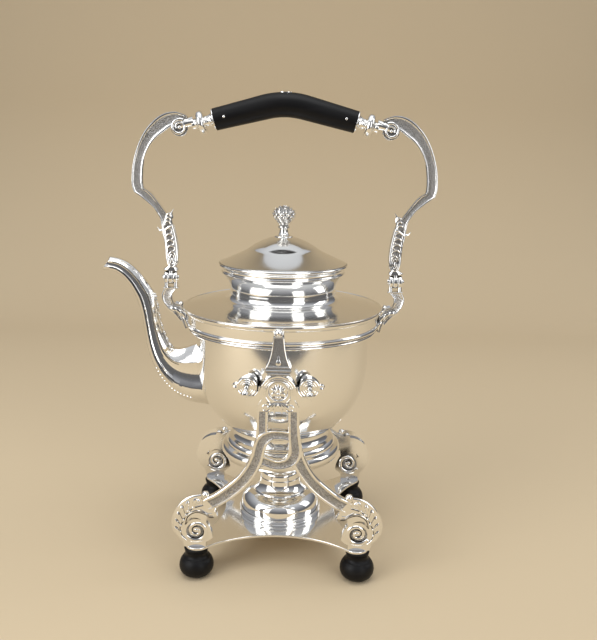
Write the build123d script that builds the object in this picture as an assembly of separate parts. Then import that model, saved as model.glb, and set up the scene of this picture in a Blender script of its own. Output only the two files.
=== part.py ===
from build123d import *
import os
from math import atan2, cos, degrees, hypot, radians, sin, tan

# A tilting tea kettle with its own stand and spirit lamp, of spun and cast silver plate.
# Millimetres, +Z up. The kettle's axis is x = 0, y = 0 while it is built, with the spout towards -X,
# and every piece is shifted along X as it is written, so that the origin lies on the floor
# under the middle of the whole object.

# Sheet, clearances
sheet = 1.2
seat_gap = 0.05
loose_gap = 0.3
running_gap = 0.05

# Wooden feet and base plate
foot_height = 24.6
foot_radius = 15.6
foot_ball_height = 17.6
foot_neck_radius = 10.6
foot_flat_radius = 7.0
foot_x = 73.2
foot_inside_bowl = 4.1
collar_height = 3.0
collar_radius = 10.8
plate_thickness = 2.4
plate_lobe_radius = 11.0
plate_waist_y = 58.0
plate_waist_x = 55.0
stud_radius = 1.5
stud_length = 26.0
stud_above_plate = 7.0

# Side frames
pivot_height = 185.0
pin_spacing = 53.0
frame_thickness = 5.0
frame_head_out = 9.75
channel_depth = 0.7
channel_share = 0.2
leg_drawn_spread = 73.2
leg_drawn_rise = 96.0
ring_radius = 17.6
ring_hole_radius = 9.1
ring_height = 126.0
volute_radius = 8.6
bead_radius = 3.3
rosette_radius = 9.6
rosette_height = 1.6

# Kettle body
bowl_radius = 80.8
bowl_wall_height = 31.0
foot_ring_share = 0.71
foot_ring_below_bowl = 12.2
rim_overhang = 12.2
band_height = 21.0
band_overhang = 8.4
shoulder_rise = 7.0
neck_radius = 49.4
neck_height = 23.0
mouth_radius = 56.5

# Spout
spout_projection = 89.4
spout_drawn_projection = 89.4
spout_wall = 2.0

# Lid
lid_radius = 60.0
lid_edge_height = 10.0
dome_height = 23.5
plug_length = 10.0
finial_bud_height = 18.9
finial_bud_radius = 10.8
finial_stud_radius = 1.8

# Swinging handle
hinge_overhang = 11.5
hinge_above_rim = 23.4
handle_height = 143.5
arm_drawn_height = 143.5
arm_drawn_reach = 41.3
arm_thickness = 7.6
hinge_pin_radius = 1.6
knuckle_radius = 4.4
tongue_width = 4.8
ear_width = 3.3
grip_end_inside_hinge = 41.3
grip_slope = 14.4
grip_bend_radius = 72.0
grip_end_radius = 9.8
grip_middle_radius = 10.9
ferrule_length = 20.4
collar_disc_radius = 10.9
arm_volute_radius = 8.2
tang_radius = 4.0
tang_length = 20.0
rivet_radius = 1.5
grip_plate_length = 11.0
grip_plate_width = 6.4

# Pull-out pins and the lugs that they hold
pin_radius = 2.3
pin_length = 35.0
pin_tip_inside_bowl = 2.8
lug_face_overhang = 1.9
lug_radius = 6.4

# Spirit lamp
holder_radius = 39.6
holder_height = 5.6
holder_wall = 1.6
lamp_height = 36.0
lamp_neck_radius = 19.6
wick_tube_radius = 5.0
wick_radius = 3.9
cap_radius = 19.4
cap_height = 9.0

# Levels worked out from the sizes above
plate_top = foot_height + collar_height + plate_thickness
pin_x = pin_spacing / 2
pin_tip = bowl_radius - pin_tip_inside_bowl
pin_reach = pin_tip + pin_length
lug_face = bowl_radius + lug_face_overhang
frame_lean = degrees(atan2(frame_head_out, pivot_height - plate_top))
foot_y = bowl_radius - foot_inside_bowl
foot_ring_radius = bowl_radius * foot_ring_share
kettle_base = pivot_height - bowl_radius - foot_ring_below_bowl
rim_radius = bowl_radius + rim_overhang
band_radius = bowl_radius + band_overhang
bowl_wall_top = pivot_height + bowl_wall_height
band_top = bowl_wall_top + band_height
rim_height = band_top + sheet
mouth_height = rim_height + shoulder_rise + neck_height
lid_seat = mouth_height + seat_gap
lid_rim_height = lid_seat + lid_edge_height
finial_base = lid_rim_height + dome_height
hinge_height = rim_height + hinge_above_rim
hinge_x = rim_radius + hinge_overhang
grip_end_x = hinge_x - grip_end_inside_hinge
grip_end_height = hinge_height + handle_height
arm_reach = grip_end_inside_hinge / arm_drawn_reach
arm_rise = handle_height / arm_drawn_height
knee_reach = hinge_x + 34.1 * arm_reach
spout_reach = bowl_radius + spout_projection
middle_x = (knee_reach - spout_reach) / 2


def lerp(p, q, t):
    return (p[0] + (q[0] - p[0]) * t, p[1] + (q[1] - p[1]) * t)


def upright(points):
    """Points (x, z) in the plane y = 0."""
    return [(x, 0, z) for x, z in points]


def run(points):
    """The edges of one run: a line between two points, an arc over three, arcs end to end over more."""
    edges = []
    for a, b, c in zip(points[:-2:2], points[1:-1:2], points[2::2]):
        bend = (b[0] - a[0]) * (c[1] - a[1]) - (b[1] - a[1]) * (c[0] - a[0])
        spots = upright([a, b, c])
        edges.append(ThreePointArc(*spots) if abs(bend) > 1e-3 else Line(spots[0], spots[2]))
    if len(points) % 2 == 0:
        edges.append(Line(*upright(points[-2:])))
    return edges


def chain_face(*runs):
    """The face inside a closed chain of runs, each starting where the one before it ends."""
    edges = [edge for points in runs for edge in run(points)]
    if hypot(runs[-1][-1][0] - runs[0][0][0], runs[-1][-1][1] - runs[0][0][1]) > 1e-6:
        edges += run([runs[-1][-1], runs[0][0]])
    return make_face(Wire(edges))


def corner_face(points):
    """The face inside straight sides."""
    return make_face(Wire([Line(a, b) for a, b in zip(upright(points), upright(points[1:] + points[:1]))]))


def sides(points):
    """Straight runs from each point to the next."""
    return [[a, b] for a, b in zip(points, points[1:])]


def spun(face):
    return revolve(face, Axis.Z, 360)


def inset(points, wall):
    """The curve's points moved by the wall's thickness, to the left of the way it runs."""
    moved = []
    for i, (x, z) in enumerate(points):
        before, after = points[max(i - 1, 0)], points[min(i + 1, len(points) - 1)]
        dx, dz = after[0] - before[0], after[1] - before[1]
        size = hypot(dx, dz)
        moved.append((x - dz / size * wall, z + dx / size * wall))
    return moved


def disc_ring(outer, inner, low, high):
    return spun(corner_face([(inner, low), (outer, low), (outer, high), (inner, high)]))


def tube_along_y(x, z, radius, y_from, y_to):
    return Pos(x, (y_from + y_to) / 2, z) * Rot(90, 0, 0) * Cylinder(radius, abs(y_to - y_from))


def tube_along_x(z, radius, x_from, x_to):
    return Pos((x_from + x_to) / 2, 0, z) * Rot(0, 90, 0) * Cylinder(radius, abs(x_to - x_from))


def plate_of(face, y_from, y_to):
    """A face in the plane y = 0 made a solid from y_from to y_to."""
    return Pos(0, y_from, 0) * extrude(face, amount=y_to - y_from, dir=(0, 1, 0))


def band(outer, inner, start=0.0, end=1.0):
    """A strip between two curves of as many points, or the part of it from start to end of its width."""
    left = [lerp(a, b, start) for a, b in zip(outer, inner)]
    right = [lerp(a, b, end) for a, b in zip(outer, inner)]
    return chain_face(left, [left[-1], right[-1]], right[::-1])


def ring_sector(centre, outer, inner, start, end):
    """Part of a flat ring, from one angle to another in degrees from +X towards +Z."""
    turns = [radians(start + (end - start) * share) for share in (0, 0.25, 0.5, 0.75, 1)]
    far = [(centre[0] + outer * cos(turn), centre[1] + outer * sin(turn)) for turn in turns]
    near = [(centre[0] + inner * cos(turn), centre[1] + inner * sin(turn)) for turn in reversed(turns)]
    return chain_face(far, [far[-1], near[0]], near)


def mirrored(points):
    return [(-x, z) for x, z in points]


def disc_at(x, z, radius):
    return make_face(Wire([Pos(x, 0, z) * Rot(90, 0, 0) * Edge.make_circle(radius)]))


def write(name, shapes):
    """The sub-part's file, with its solids moved to the object's own origin."""
    moved = [Pos(-middle_x, 0, 0) * solid for shape in shapes for solid in shape.solids()]
    export_step(moved[0] if len(moved) == 1 else Compound(children=moved), f"parts/{name}.step")


os.makedirs("parts", exist_ok=True)

# Wooden ball feet, turned: a flattened ball, a ridge and a hollowed neck
stud_low = plate_top + stud_above_plate - stud_length
stud_middle = Pos(0, 0, stud_low + stud_length / 2)
stud_hole = stud_middle * Cylinder(stud_radius + seat_gap, stud_length + 2 * seat_gap)
foot_ridge_radius = foot_radius - 3.0
wooden_foot = spun(chain_face(
    [(0, 0), (foot_flat_radius, 0)],
    [(foot_flat_radius, 0), (foot_radius, foot_ball_height * 0.54), (foot_ridge_radius, foot_ball_height)],
    [(foot_ridge_radius, foot_ball_height), (foot_ridge_radius - 1.0, foot_ball_height + 0.6)],
    [(foot_ridge_radius - 1.0, foot_ball_height + 0.6), (foot_neck_radius - 0.8, foot_height - 3.0),
     (foot_neck_radius, foot_height)],
    [(foot_neck_radius, foot_height), (0, foot_height)],
)) - stud_hole
corners = [(x, y) for x in (-foot_x, foot_x) for y in (-foot_y, foot_y)]
write("wooden_feet", [Pos(x, y, 0) * wooden_foot for x, y in corners])

# Silver collars between the wooden feet and the plate, and the studs that hold the feet
collar = spun(corner_face([
    (stud_radius + seat_gap, foot_height), (collar_radius - 0.8, foot_height),
    (collar_radius, foot_height + collar_height / 2), (collar_radius - 0.8, foot_height + collar_height),
    (stud_radius + seat_gap, foot_height + collar_height),
]))
stud = stud_middle * Cylinder(stud_radius, stud_length)
write("foot_collars", [Pos(x, y, 0) * collar for x, y in corners])
write("foot_studs", [Pos(x, y, 0) * stud for x, y in corners])

# Base plate: four concave sides between lobes over the feet
reach = plate_lobe_radius * 0.75
side_x, side_y = foot_x + reach, foot_y - reach * 0.88
end_x, end_y = foot_x - reach * 0.88, foot_y + reach
plate_face = make_face(Wire([
    ThreePointArc((-end_x, -end_y), (0, -plate_waist_y), (end_x, -end_y)),
    Line((end_x, -end_y), (side_x, -side_y)),
    ThreePointArc((side_x, -side_y), (plate_waist_x, 0), (side_x, side_y)),
    Line((side_x, side_y), (end_x, end_y)),
    ThreePointArc((end_x, end_y), (0, plate_waist_y), (-end_x, end_y)),
    Line((-end_x, end_y), (-side_x, side_y)),
    ThreePointArc((-side_x, side_y), (-plate_waist_x, 0), (-side_x, -side_y)),
    Line((-side_x, -side_y), (-end_x, -end_y)),
]))
for x, y in corners:
    plate_face += Pos(x, y, 0) * Circle(plate_lobe_radius)
base_plate = extrude(plate_face, amount=plate_thickness, dir=(0, 0, 1))
base_plate = Pos(0, 0, plate_top - plate_thickness) * base_plate
for x, y in corners:
    base_plate -= Pos(x, y, 0) * stud_hole
write("base_plate", [base_plate])

# Side frame: head with two volutes, two uprights, an interlaced ring, two legs and scroll feet,
# drawn upright and then leaned out about its foot
head_drop = 5.0
head_radius = 16.0
curl_radius = 6.3
upright_outer, upright_inner = 18.3, 8.6


def leg_curve(points):
    """Points drawn above the plate for a ring and feet at the drawn places, moved to where these are."""
    spread = foot_x / leg_drawn_spread
    rise = (ring_height - plate_top) / leg_drawn_rise
    return [(x * spread, plate_top + z * rise) for x, z in points]


leg_outer = leg_curve([(19.4, 102.0), (22.6, 94.0), (27.5, 82.0), (35.0, 70.8), (46.5, 60.0), (56.0, 52.6),
                       (63.5, 48.6)])
leg_inner = leg_curve([(10.2, 95.0), (12.4, 88.0), (15.6, 78.0), (22.0, 67.0), (32.0, 56.0), (45.5, 44.4),
                       (55.5, 39.0)])
foot_centre = (foot_x - 0.4, plate_top + 24.4)
foot_scroll_radius = 21.2
eye_centre = (foot_x - 1.2, plate_top + 15.8)
eye_radius = 10.6
head_height = pivot_height - head_drop
half_frame = frame_thickness / 2


def frame_outline():
    """Faces of one side frame, in the plane y = 0."""
    faces = [
        disc_at(0, head_height, head_radius),
        disc_at(0, head_height - 11.5, 7.6),
        band(leg_outer, leg_inner),
        band(mirrored(leg_outer), mirrored(leg_inner)),
        corner_face([(-upright_outer, head_height - 12), (-upright_inner, head_height - 12),
                     (-upright_inner, ring_height + 8), (-upright_outer, ring_height + 3)]),
        corner_face([(upright_outer, head_height - 12), (upright_inner, head_height - 12),
                     (upright_inner, ring_height + 8), (upright_outer + 1.4, ring_height + 3)]),
        disc_at(0, ring_height, ring_radius),
    ]
    for side in (-1, 1):
        faces += [
            disc_at(side * 10.2, head_height - 13.0, curl_radius),
            disc_at(side * pin_x, pivot_height, volute_radius),
            disc_at(side * 25.0, pivot_height - 13.4, 3.4),
            chain_face(
                [(side * 12, head_height + 6.5), (side * 17.4, head_height + 1.5),
                 (side * (pin_x - 7), pivot_height - 4)],
                [(side * (pin_x - 7), pivot_height - 4), (side * (pin_x + 2), pivot_height - 8)],
                [(side * (pin_x + 2), pivot_height - 8), (side * 25.5, pivot_height - 16.6)],
                [(side * 25.5, pivot_height - 16.6), (side * 12, head_height - 12)],
            ),
            disc_at(side * foot_centre[0], foot_centre[1], foot_scroll_radius),
            disc_at(side * eye_centre[0], eye_centre[1], eye_radius),
            corner_face([(side * (foot_x - 9.4), plate_top - 2), (side * (foot_x + 9.4), plate_top - 2),
                         (side * (foot_x + 12), plate_top + 8), (side * (foot_x - 9.4), plate_top + 8)]),
            corner_face([(side * leg_inner[-1][0], leg_inner[-1][1]),
                         (side * leg_inner[-1][0], leg_inner[-1][1] - 7.2),
                         (side * (foot_centre[0] - 10.3), foot_centre[1] + 6.4),
                         (side * (foot_centre[0] - 4.8), foot_centre[1] + 15.6)]),
            corner_face([(side * (leg_outer[-1][0] - 1.0), leg_outer[-1][1] + 0.4),
                         (side * (leg_inner[-1][0] - 1.5), leg_inner[-1][1] - 1.0),
                         (side * (foot_centre[0] - 2.8), foot_centre[1] + 9.6),
                         (side * (foot_centre[0] + 0.2), foot_centre[1] + 20.6)]),
            disc_at(side * (pin_x + 9.6), pivot_height - 0.8, bead_radius),
            disc_at(side * (leg_outer[-1][0] - 0.1), leg_outer[-1][1] + 2.4, bead_radius),
            disc_at(side * (foot_centre[0] - 2.6), foot_centre[1] + 21.0, bead_radius - 0.4),
        ]
    return faces


def frame_cuts():
    """Faces cut right through: the ring's eye, the inside of the foot scrolls."""
    faces = [disc_at(0, ring_height - 0.4, ring_hole_radius)]
    for side in (-1, 1):
        inner_x, inner_z = side * (foot_x - 11.6), plate_top + 24.0
        faces.append(chain_face(
            [(inner_x + side * 0.6, plate_top + 31.4), (inner_x + side * 1.6, inner_z + 1.0)],
            [(inner_x + side * 1.6, inner_z + 1.0), (side * (foot_x - 14.4), plate_top + 17.0),
             (side * (foot_x - 13.2), plate_top - 2.0)],
            [(side * (foot_x - 13.2), plate_top - 2.0), (side * (foot_x - 24), plate_top - 2.0)],
            [(side * (foot_x - 24), plate_top - 2.0), (side * (foot_x - 24), plate_top + 31.4)],
        ))
        faces.append(chain_face(
            [(side * (foot_x - 6.0), plate_top + 27.2), (side * (foot_x + 2.5), plate_top + 29.4),
             (side * (foot_x + 10.0), plate_top + 24.2)],
            [(side * (foot_x + 10.0), plate_top + 24.2), (side * (foot_x + 7.6), plate_top + 22.4)],
            [(side * (foot_x + 7.6), plate_top + 22.4), (side * (foot_x + 0.5), plate_top + 28.0),
             (side * (foot_x - 6.0), plate_top + 27.2)],
        ))
    return faces


def frame_channels():
    """Faces sunk into both sides. The left leg's channel runs over the ring's eye to the right upright,
    and the right upright's runs under it, so that the two bands look laced through each other."""
    near, far = channel_share, 1 - channel_share
    edge = (upright_outer - upright_inner) * channel_share
    upright_rise = head_height - 12 - ring_height
    channel_top = ring_height + upright_rise * 0.8
    ring_outside, ring_inside = ring_radius - 2, ring_hole_radius + 2
    ring_centre = (0, ring_height)
    faces = [
        band(mirrored(leg_outer[1:]), mirrored(leg_inner[1:]), near, far),
        ring_sector(ring_centre, ring_outside, ring_inside, 52, 186),
        band(leg_outer[2:], leg_inner[2:], near, far),
        ring_sector(ring_centre, ring_outside, ring_inside, -146, 2),
        corner_face([(-upright_outer + edge, channel_top), (-upright_inner - edge, channel_top),
                     (-upright_inner - edge, ring_height + upright_rise * 0.46),
                     (-upright_outer + edge, ring_height + upright_rise * 0.36)]),
        corner_face([(upright_outer - edge, channel_top), (upright_inner + edge, channel_top),
                     (ring_inside, ring_height), (ring_outside + 1.4, ring_height)]),
    ]
    for side in (-1, 1):
        eye_x = side * eye_centre[0]
        faces.append(disc_at(eye_x, eye_centre[1], eye_radius - 1.6) - disc_at(eye_x, eye_centre[1], 4.2))
    return faces


frame_solid = None
for face in frame_outline():
    slab = plate_of(face, -half_frame, half_frame)
    frame_solid = slab if frame_solid is None else frame_solid + slab
for face in frame_cuts():
    frame_solid -= plate_of(face, -half_frame - 1, half_frame + 1)
for face in frame_channels():
    frame_solid -= plate_of(face, -half_frame - 1, -half_frame + channel_depth)
    frame_solid -= plate_of(face, half_frame - channel_depth, half_frame + 1)
frame_solid = Pos(0, -foot_y, plate_top) * Rot(frame_lean, 0, 0) * Pos(0, 0, -plate_top) * frame_solid
frame_solid -= Pos(0, -foot_y, plate_top - 10) * Box(4 * foot_x, 60, 20)


def lean_y(z):
    """The middle of the leaning frame's thickness at height z."""
    return -foot_y - (z - plate_top) * tan(radians(frame_lean))


for side in (-1, 1):
    frame_solid -= tube_along_y(side * pin_x, pivot_height, pin_radius + running_gap, -pin_tip, -pin_reach)
    frame_solid -= Pos(side * foot_x, -foot_y, 0) * stud_hole
turned = Rot(0, 0, 180)
write("frame_front", [frame_solid])
write("frame_back", [turned * frame_solid])

# Shell rosettes set on the frames' heads
petals = 10
petal_radius = 3.2
rosette = Cylinder(rosette_radius - petal_radius, rosette_height)
for i in range(petals):
    petal = Pos(rosette_radius - petal_radius, 0, 0) * Cylinder(petal_radius, rosette_height)
    rosette += Rot(0, 0, 360 / petals * i) * petal
rosette += Pos(0, 0, rosette_height / 2) * Cylinder(rosette_radius * 0.3, rosette_height * 1.6)
rosette_z = head_height + 2.2
rosette_y = lean_y(rosette_z) - (half_frame + rosette_height / 2) / cos(radians(frame_lean))
rosette = Pos(0, rosette_y, rosette_z) * Rot(90 + frame_lean, 0, 0) * rosette
rosette -= frame_solid
write("rosette_front", [rosette])
write("rosette_back", [turned * rosette])

# Pull-out pins: two at each side frame
pin = Rot(90, 0, 0) * spun(corner_face([
    (0, 0), (pin_radius - 0.4, 0), (pin_radius, 0.6), (pin_radius, pin_length - 3.0),
    (pin_radius + 0.7, pin_length - 1.6), (pin_radius, pin_length), (0, pin_length),
]))
for name, x in (("left", -pin_x), ("right", pin_x)):
    write(f"pin_front_{name}", [Pos(x, -pin_tip, pivot_height) * pin])
    write(f"pin_back_{name}", [turned * (Pos(-x, -pin_tip, pivot_height) * pin)])

# Holder ring and spirit lamp
write("lamp_holder", [spun(corner_face([
    (holder_radius - holder_wall, plate_top), (holder_radius, plate_top),
    (holder_radius - 0.4, plate_top + holder_height),
    (holder_radius - holder_wall, plate_top + holder_height),
]))])
lamp_base = plate_top + seat_gap
lamp_top = lamp_base + lamp_height
lamp_radius = holder_radius - holder_wall - loose_gap
lamp_hollow_top = lamp_top - 2 * sheet
reservoir = spun(chain_face(
    [(0, lamp_base), (lamp_radius - 3.0, lamp_base)],
    [(lamp_radius - 3.0, lamp_base), (lamp_radius, lamp_base + 3.2)],
    [(lamp_radius, lamp_base + 3.2), (lamp_radius, lamp_base + 11.0)],
    [(lamp_radius, lamp_base + 11.0), (lamp_radius - 3.6, lamp_base + 18.4),
     (lamp_radius - 12.0, lamp_base + 22.4)],
    [(lamp_radius - 12.0, lamp_base + 22.4), (lamp_radius - 12.6, lamp_base + 24.0)],
    [(lamp_radius - 12.6, lamp_base + 24.0), (lamp_neck_radius + 2.0, lamp_base + 27.4),
     (lamp_neck_radius, lamp_base + 32.0)],
    [(lamp_neck_radius, lamp_base + 32.0), (lamp_neck_radius, lamp_top)],
    [(lamp_neck_radius, lamp_top), (0, lamp_top)],
))
filler_radius = 13.0
reservoir -= spun(corner_face([
    (0, lamp_base + sheet), (lamp_radius - 4.0, lamp_base + sheet), (lamp_radius - sheet, lamp_base + 4.4),
    (lamp_radius - sheet, lamp_base + 11.0), (lamp_radius - 5.6, lamp_base + 17.0),
    (lamp_radius - 13.4, lamp_base + 21.0), (lamp_neck_radius - sheet, lamp_base + 27.0),
    (lamp_neck_radius - sheet, lamp_hollow_top), (0, lamp_hollow_top),
]))
reservoir -= Pos(0, 0, lamp_top) * Cylinder(filler_radius + seat_gap, 10)
write("lamp_reservoir", [reservoir])

# Burner head let into the reservoir's neck, its wick tube, and the wick
tube_top = lamp_top + 4.6
head_flange = lamp_top + 1.4
burner_head = spun(corner_face([
    (wick_radius + seat_gap, lamp_top - 9.0), (wick_tube_radius, lamp_top - 9.0),
    (wick_tube_radius, lamp_top + 0.2),
    (filler_radius - 1.4, lamp_top + 0.2), (filler_radius - 1.4, lamp_hollow_top - 2.4),
    (filler_radius, lamp_hollow_top - 2.4), (filler_radius, lamp_top + seat_gap),
    (filler_radius + 3.2, lamp_top + seat_gap), (filler_radius + 3.2, head_flange),
    (wick_tube_radius, head_flange),
    (wick_tube_radius, tube_top), (wick_radius + seat_gap, tube_top),
]))
write("burner_head", [burner_head])
write("wick", [spun(corner_face([
    (0, lamp_base + sheet + seat_gap), (wick_radius, lamp_base + 4.0), (wick_radius, tube_top + 0.6),
    (wick_radius - 1.4, tube_top + 1.6), (0, tube_top + 1.6),
]))])

# Snuffer cap, a shallow dish over the burner head with a turned knob
cap_base = lamp_top + seat_gap
cap_top = cap_base + cap_height
write("snuffer_cap", [spun(corner_face([
    (cap_radius - sheet, cap_base), (cap_radius - 0.3, cap_base), (cap_radius, cap_base + 1.0),
    (cap_radius - 0.5, cap_base + 4.0), (cap_radius - 4.0, cap_top - 1.0), (4.2, cap_top),
    (2.4, cap_top + 1.2),
    (3.7, cap_top + 2.8), (2.4, cap_top + 4.6), (0, cap_top + 4.6), (0, cap_top - sheet),
    (cap_radius - 5.0, cap_top - sheet - 0.8), (cap_radius - sheet - 0.6, cap_base + 3.4),
]))])


# Kettle bowl: a hemisphere about the height of the pins, with a straight wall above
def bowl_solid(radius, top):
    slant = radius * cos(radians(45))
    return spun(chain_face(
        [(0, pivot_height - radius), (slant, pivot_height - slant), (radius, pivot_height)],
        [(radius, pivot_height), (radius, top)],
        [(radius, top), (0, top)],
    ))


bowl_outside = bowl_solid(bowl_radius, bowl_wall_top)
bowl_seat = bowl_solid(bowl_radius + seat_gap, bowl_wall_top + 30)
bowl = bowl_outside - bowl_solid(bowl_radius - sheet, bowl_wall_top + 1)
strainer_height = pivot_height - 17.0
strainer_radius = 2.3
for i in range(7):
    turn = radians(60 * i)
    out = 0 if i == 6 else 8.0
    hole = Rot(0, 90, 0) * Cylinder(strainer_radius, 30)
    bowl -= Pos(-bowl_radius, out * cos(turn), strainer_height + out * sin(turn)) * hole
write("kettle_bowl", [bowl])

# Foot ring, spun in steps, under the bowl
foot_ring = spun(corner_face([(foot_ring_radius + x, kettle_base + z) for x, z in (
    (-4.4, 0), (-2.4, 0), (-1.2, 2.0), (0, 6.0), (-2.2, 10.6), (-5.4, 12.0), (-6.4, 15.4), (-9.2, 17.6),
    (-11.4, 18.4), (-13.2, 22.0), (-13.4, 29.0), (-17.4, 29.0), (-16.4, 20.0), (-8.0, 12.0),
)])) - bowl_seat
write("kettle_foot", [foot_ring])

# Moulded band round the rim
band_low = band_top - band_height
band_moulding = [
    (band_radius - 2.4, band_low), (band_radius - 0.9, band_low + 1.5), (band_radius - 2.4, band_low + 3.2),
    (band_radius - 0.2, band_low + 4.2), (band_radius + 1.4, band_low + 6.2), (band_radius, band_low + 8.6),
    (band_radius, band_top - 4.4), (rim_radius - 0.3, band_top - 1.6), (rim_radius - 0.6, band_top),
]
write("rim_band", [spun(corner_face([
    (bowl_radius + seat_gap, band_low), *band_moulding, (bowl_radius - 3, band_top),
    (bowl_radius - 3, bowl_wall_top + seat_gap), (bowl_radius + seat_gap, bowl_wall_top + seat_gap),
]))])
rim_edge = [(rim_radius - 0.4, band_top), (rim_radius, band_top + sheet / 2),
            (rim_radius - 0.4, rim_height)]
rim_side = inset(band_moulding[:-1] + rim_edge, -seat_gap)
rim_seat_body = spun(corner_face(
    [(0, band_low - seat_gap),
     (band_radius - 2.4, band_low - seat_gap), *rim_side, (0, rim_height + seat_gap)]
))

# Shoulder, neck and flared mouth, one spun sheet
shoulder_top = rim_height + shoulder_rise
shoulder_curve = [
    (mouth_radius, mouth_height), (neck_radius + 1.0, mouth_height - 8.5),
    (neck_radius, mouth_height - 17.0),
    (neck_radius + 1.4, shoulder_top + 0.8), (neck_radius + 6.0, shoulder_top - 1.4),
    (neck_radius + 22.0, shoulder_top - 3.4), (rim_radius - 3.0, rim_height),
]
shoulder_inside = inset(shoulder_curve, -sheet)
write("kettle_shoulder", [spun(chain_face(
    shoulder_curve,
    *sides([shoulder_curve[-1], *rim_edge[::-1], (rim_radius - 6.0, band_top), *shoulder_inside[-2:0:-1],
            (mouth_radius - sheet, mouth_height), shoulder_curve[0]]),
))])

# Spout: a panelled swan neck, lofted through pointed ten-sided sections, with a round bore.
# Each station holds the top point and the bottom point, measured out from the bowl's side
# and up from the pins, and half the breadth.
spout_scale = spout_projection / spout_drawn_projection
spout_stations = [
    ((87.2, 96.5), (95.2, 83.5), 6.4),
    ((71.3, 93.4), (76.7, 81.8), 7.0),
    ((62.1, 88.9), (69.2, 77.0), 7.2),
    ((53.0, 80.6), (63.2, 70.0), 7.5),
    ((46.5, 72.0), (59.0, 62.5), 7.8),
    ((40.4, 62.5), (55.7, 55.0), 8.2),
    ((37.1, 50.0), (52.7, 44.5), 8.6),
    ((35.2, 37.0), (50.4, 32.0), 9.1),
    ((32.0, 25.5), (48.8, 20.0), 9.8),
    ((28.7, 17.0), (46.8, 8.5), 10.6),
    ((24.7, 10.2), (42.7, -4.5), 11.8),
    ((18.2, 8.0), (34.0, -22.3), 13.2),
    ((10.7, 9.5), (21.7, -35.8), 14.4),
    ((1.2, 13.0), (5.7, -43.5), 15.2),
    ((-12.8, 15.0), (-12.8, -46.6), 15.4),
]
section_shape = [(1.0, 0.26), (0.52, 0.82), (0.06, 0.84), (-0.44, 1.0), (-1.0, 0.34)]
ring_shape = section_shape + [(a, -b) for a, b in section_shape[::-1]]


def at_spout(point):
    return (-bowl_radius - point[0] * spout_scale, pivot_height + point[1] * spout_scale)


def spout_section(top, bottom, breadth):
    """A pointed ten-sided face across the spout."""
    (top_x, top_z), (bottom_x, bottom_z) = at_spout(top), at_spout(bottom)
    spots = [
        ((top_x + bottom_x + (top_x - bottom_x) * a) / 2, b * breadth * spout_scale,
         (top_z + bottom_z + (top_z - bottom_z) * a) / 2)
        for a, b in ring_shape
    ]
    return make_face(Wire([Line(p, q) for p, q in zip(spots, spots[1:] + spots[:1])]))


def bore_section(top, bottom, breadth):
    """A round face across the spout's bore."""
    top, bottom = at_spout(top), at_spout(bottom)
    middle = lerp(top, bottom, 0.5)
    across = Plane(origin=(middle[0], 0, middle[1]), x_dir=(0, 1, 0),
                   z_dir=(bottom[1] - top[1], 0, top[0] - bottom[0]))
    half = hypot(top[0] - bottom[0], top[1] - bottom[1]) / 2
    return across * Circle(min(half, breadth * spout_scale) - spout_wall)


spout_body = loft([spout_section(*station) for station in spout_stations], ruled=True)
spout_bore = loft([bore_section(*station) for station in spout_stations[::2]])
lip_cut = corner_face([at_spout(point) for point in (
    (80.6, 97.0), (78.5, 89.5), (89.4, 83.4), (89.4, 70.0), (109.2, 70.0), (109.2, 110.0), (81.6, 110.0),
)])
spout = spout_body - bowl_seat - spout_bore - plate_of(lip_cut, -spout_projection / 2, spout_projection / 2)
write("spout", [spout])

# Ears for the handle: an S-shaped bracket on each end of the rim, with a forked top
ear_outer = [(5.7, -9.6), (8.9, -15.6), (8.1, -22.3), (3.8, -28.7), (-2.7, -33.6), (-8.7, -40.6),
             (-12.2, -49.0)]
ear_inner = [(-5.7, -9.6), (-1.2, -15.6), (-0.9, -20.4), (-3.0, -24.2), (-8.0, -25.0), (-13.5, -31.6),
             (-16.4, -47.0)]


def at_hinge(points):
    return [(hinge_x + x, hinge_height + z) for x, z in points]


def at_arm(points):
    """Points of the arm, drawn about the hinge, moved to fit the handle's height and reach."""
    return [(hinge_x + x * arm_reach, hinge_height + z * arm_rise) for x, z in points]


half_arm = arm_thickness / 2
bracket = plate_of(band(at_hinge(ear_outer), at_hinge(ear_inner)), -half_arm, half_arm)
for low, high in ((-half_arm - 1, -half_arm + channel_depth), (half_arm - channel_depth, half_arm + 1)):
    bracket -= plate_of(band(at_hinge(ear_outer[:5]), at_hinge(ear_inner[:5]), 0.24, 0.76), low, high)
bracket += Pos(hinge_x, 0, hinge_height - 8.8) * Box(13.2, arm_thickness + 1.2, 1.9)
bracket += Pos(hinge_x, 0, hinge_height - 6.6) * Box(12.2, arm_thickness, 2.6)
ear_inside = tongue_width / 2 + loose_gap
for low in (-ear_inside - ear_width, ear_inside):
    bracket += tube_along_x(hinge_height, knuckle_radius, hinge_x + low, hinge_x + low + ear_width)
    cheek = Box(ear_width, 2 * knuckle_radius, 7)
    bracket += Pos(hinge_x + low + ear_width / 2, 0, hinge_height - 3.5) * cheek
bracket -= tube_along_x(hinge_height, hinge_pin_radius + running_gap, hinge_x - 20, hinge_x + 20)
bracket += tube_along_y(hinge_x - 14.2, hinge_height - 49.0, 2.2, -half_arm, half_arm)
bracket = bracket - rim_seat_body - bowl_seat
write("handle_ear_right", [bracket])
write("handle_ear_left", [turned * bracket])

pin_inner = hinge_x - ear_inside - ear_width - seat_gap
pin_outer = hinge_x + ear_inside + ear_width + seat_gap
hinge_pin = tube_along_x(hinge_height, hinge_pin_radius, pin_inner - 1.2, pin_outer + 1.2)
hinge_pin += tube_along_x(hinge_height, 2.5, pin_inner - 1.2, pin_inner)
hinge_pin += tube_along_x(hinge_height, 2.7, pin_outer, pin_outer + 1.8)
write("hinge_pin_right", [hinge_pin])
write("hinge_pin_left", [turned * hinge_pin])

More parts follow.
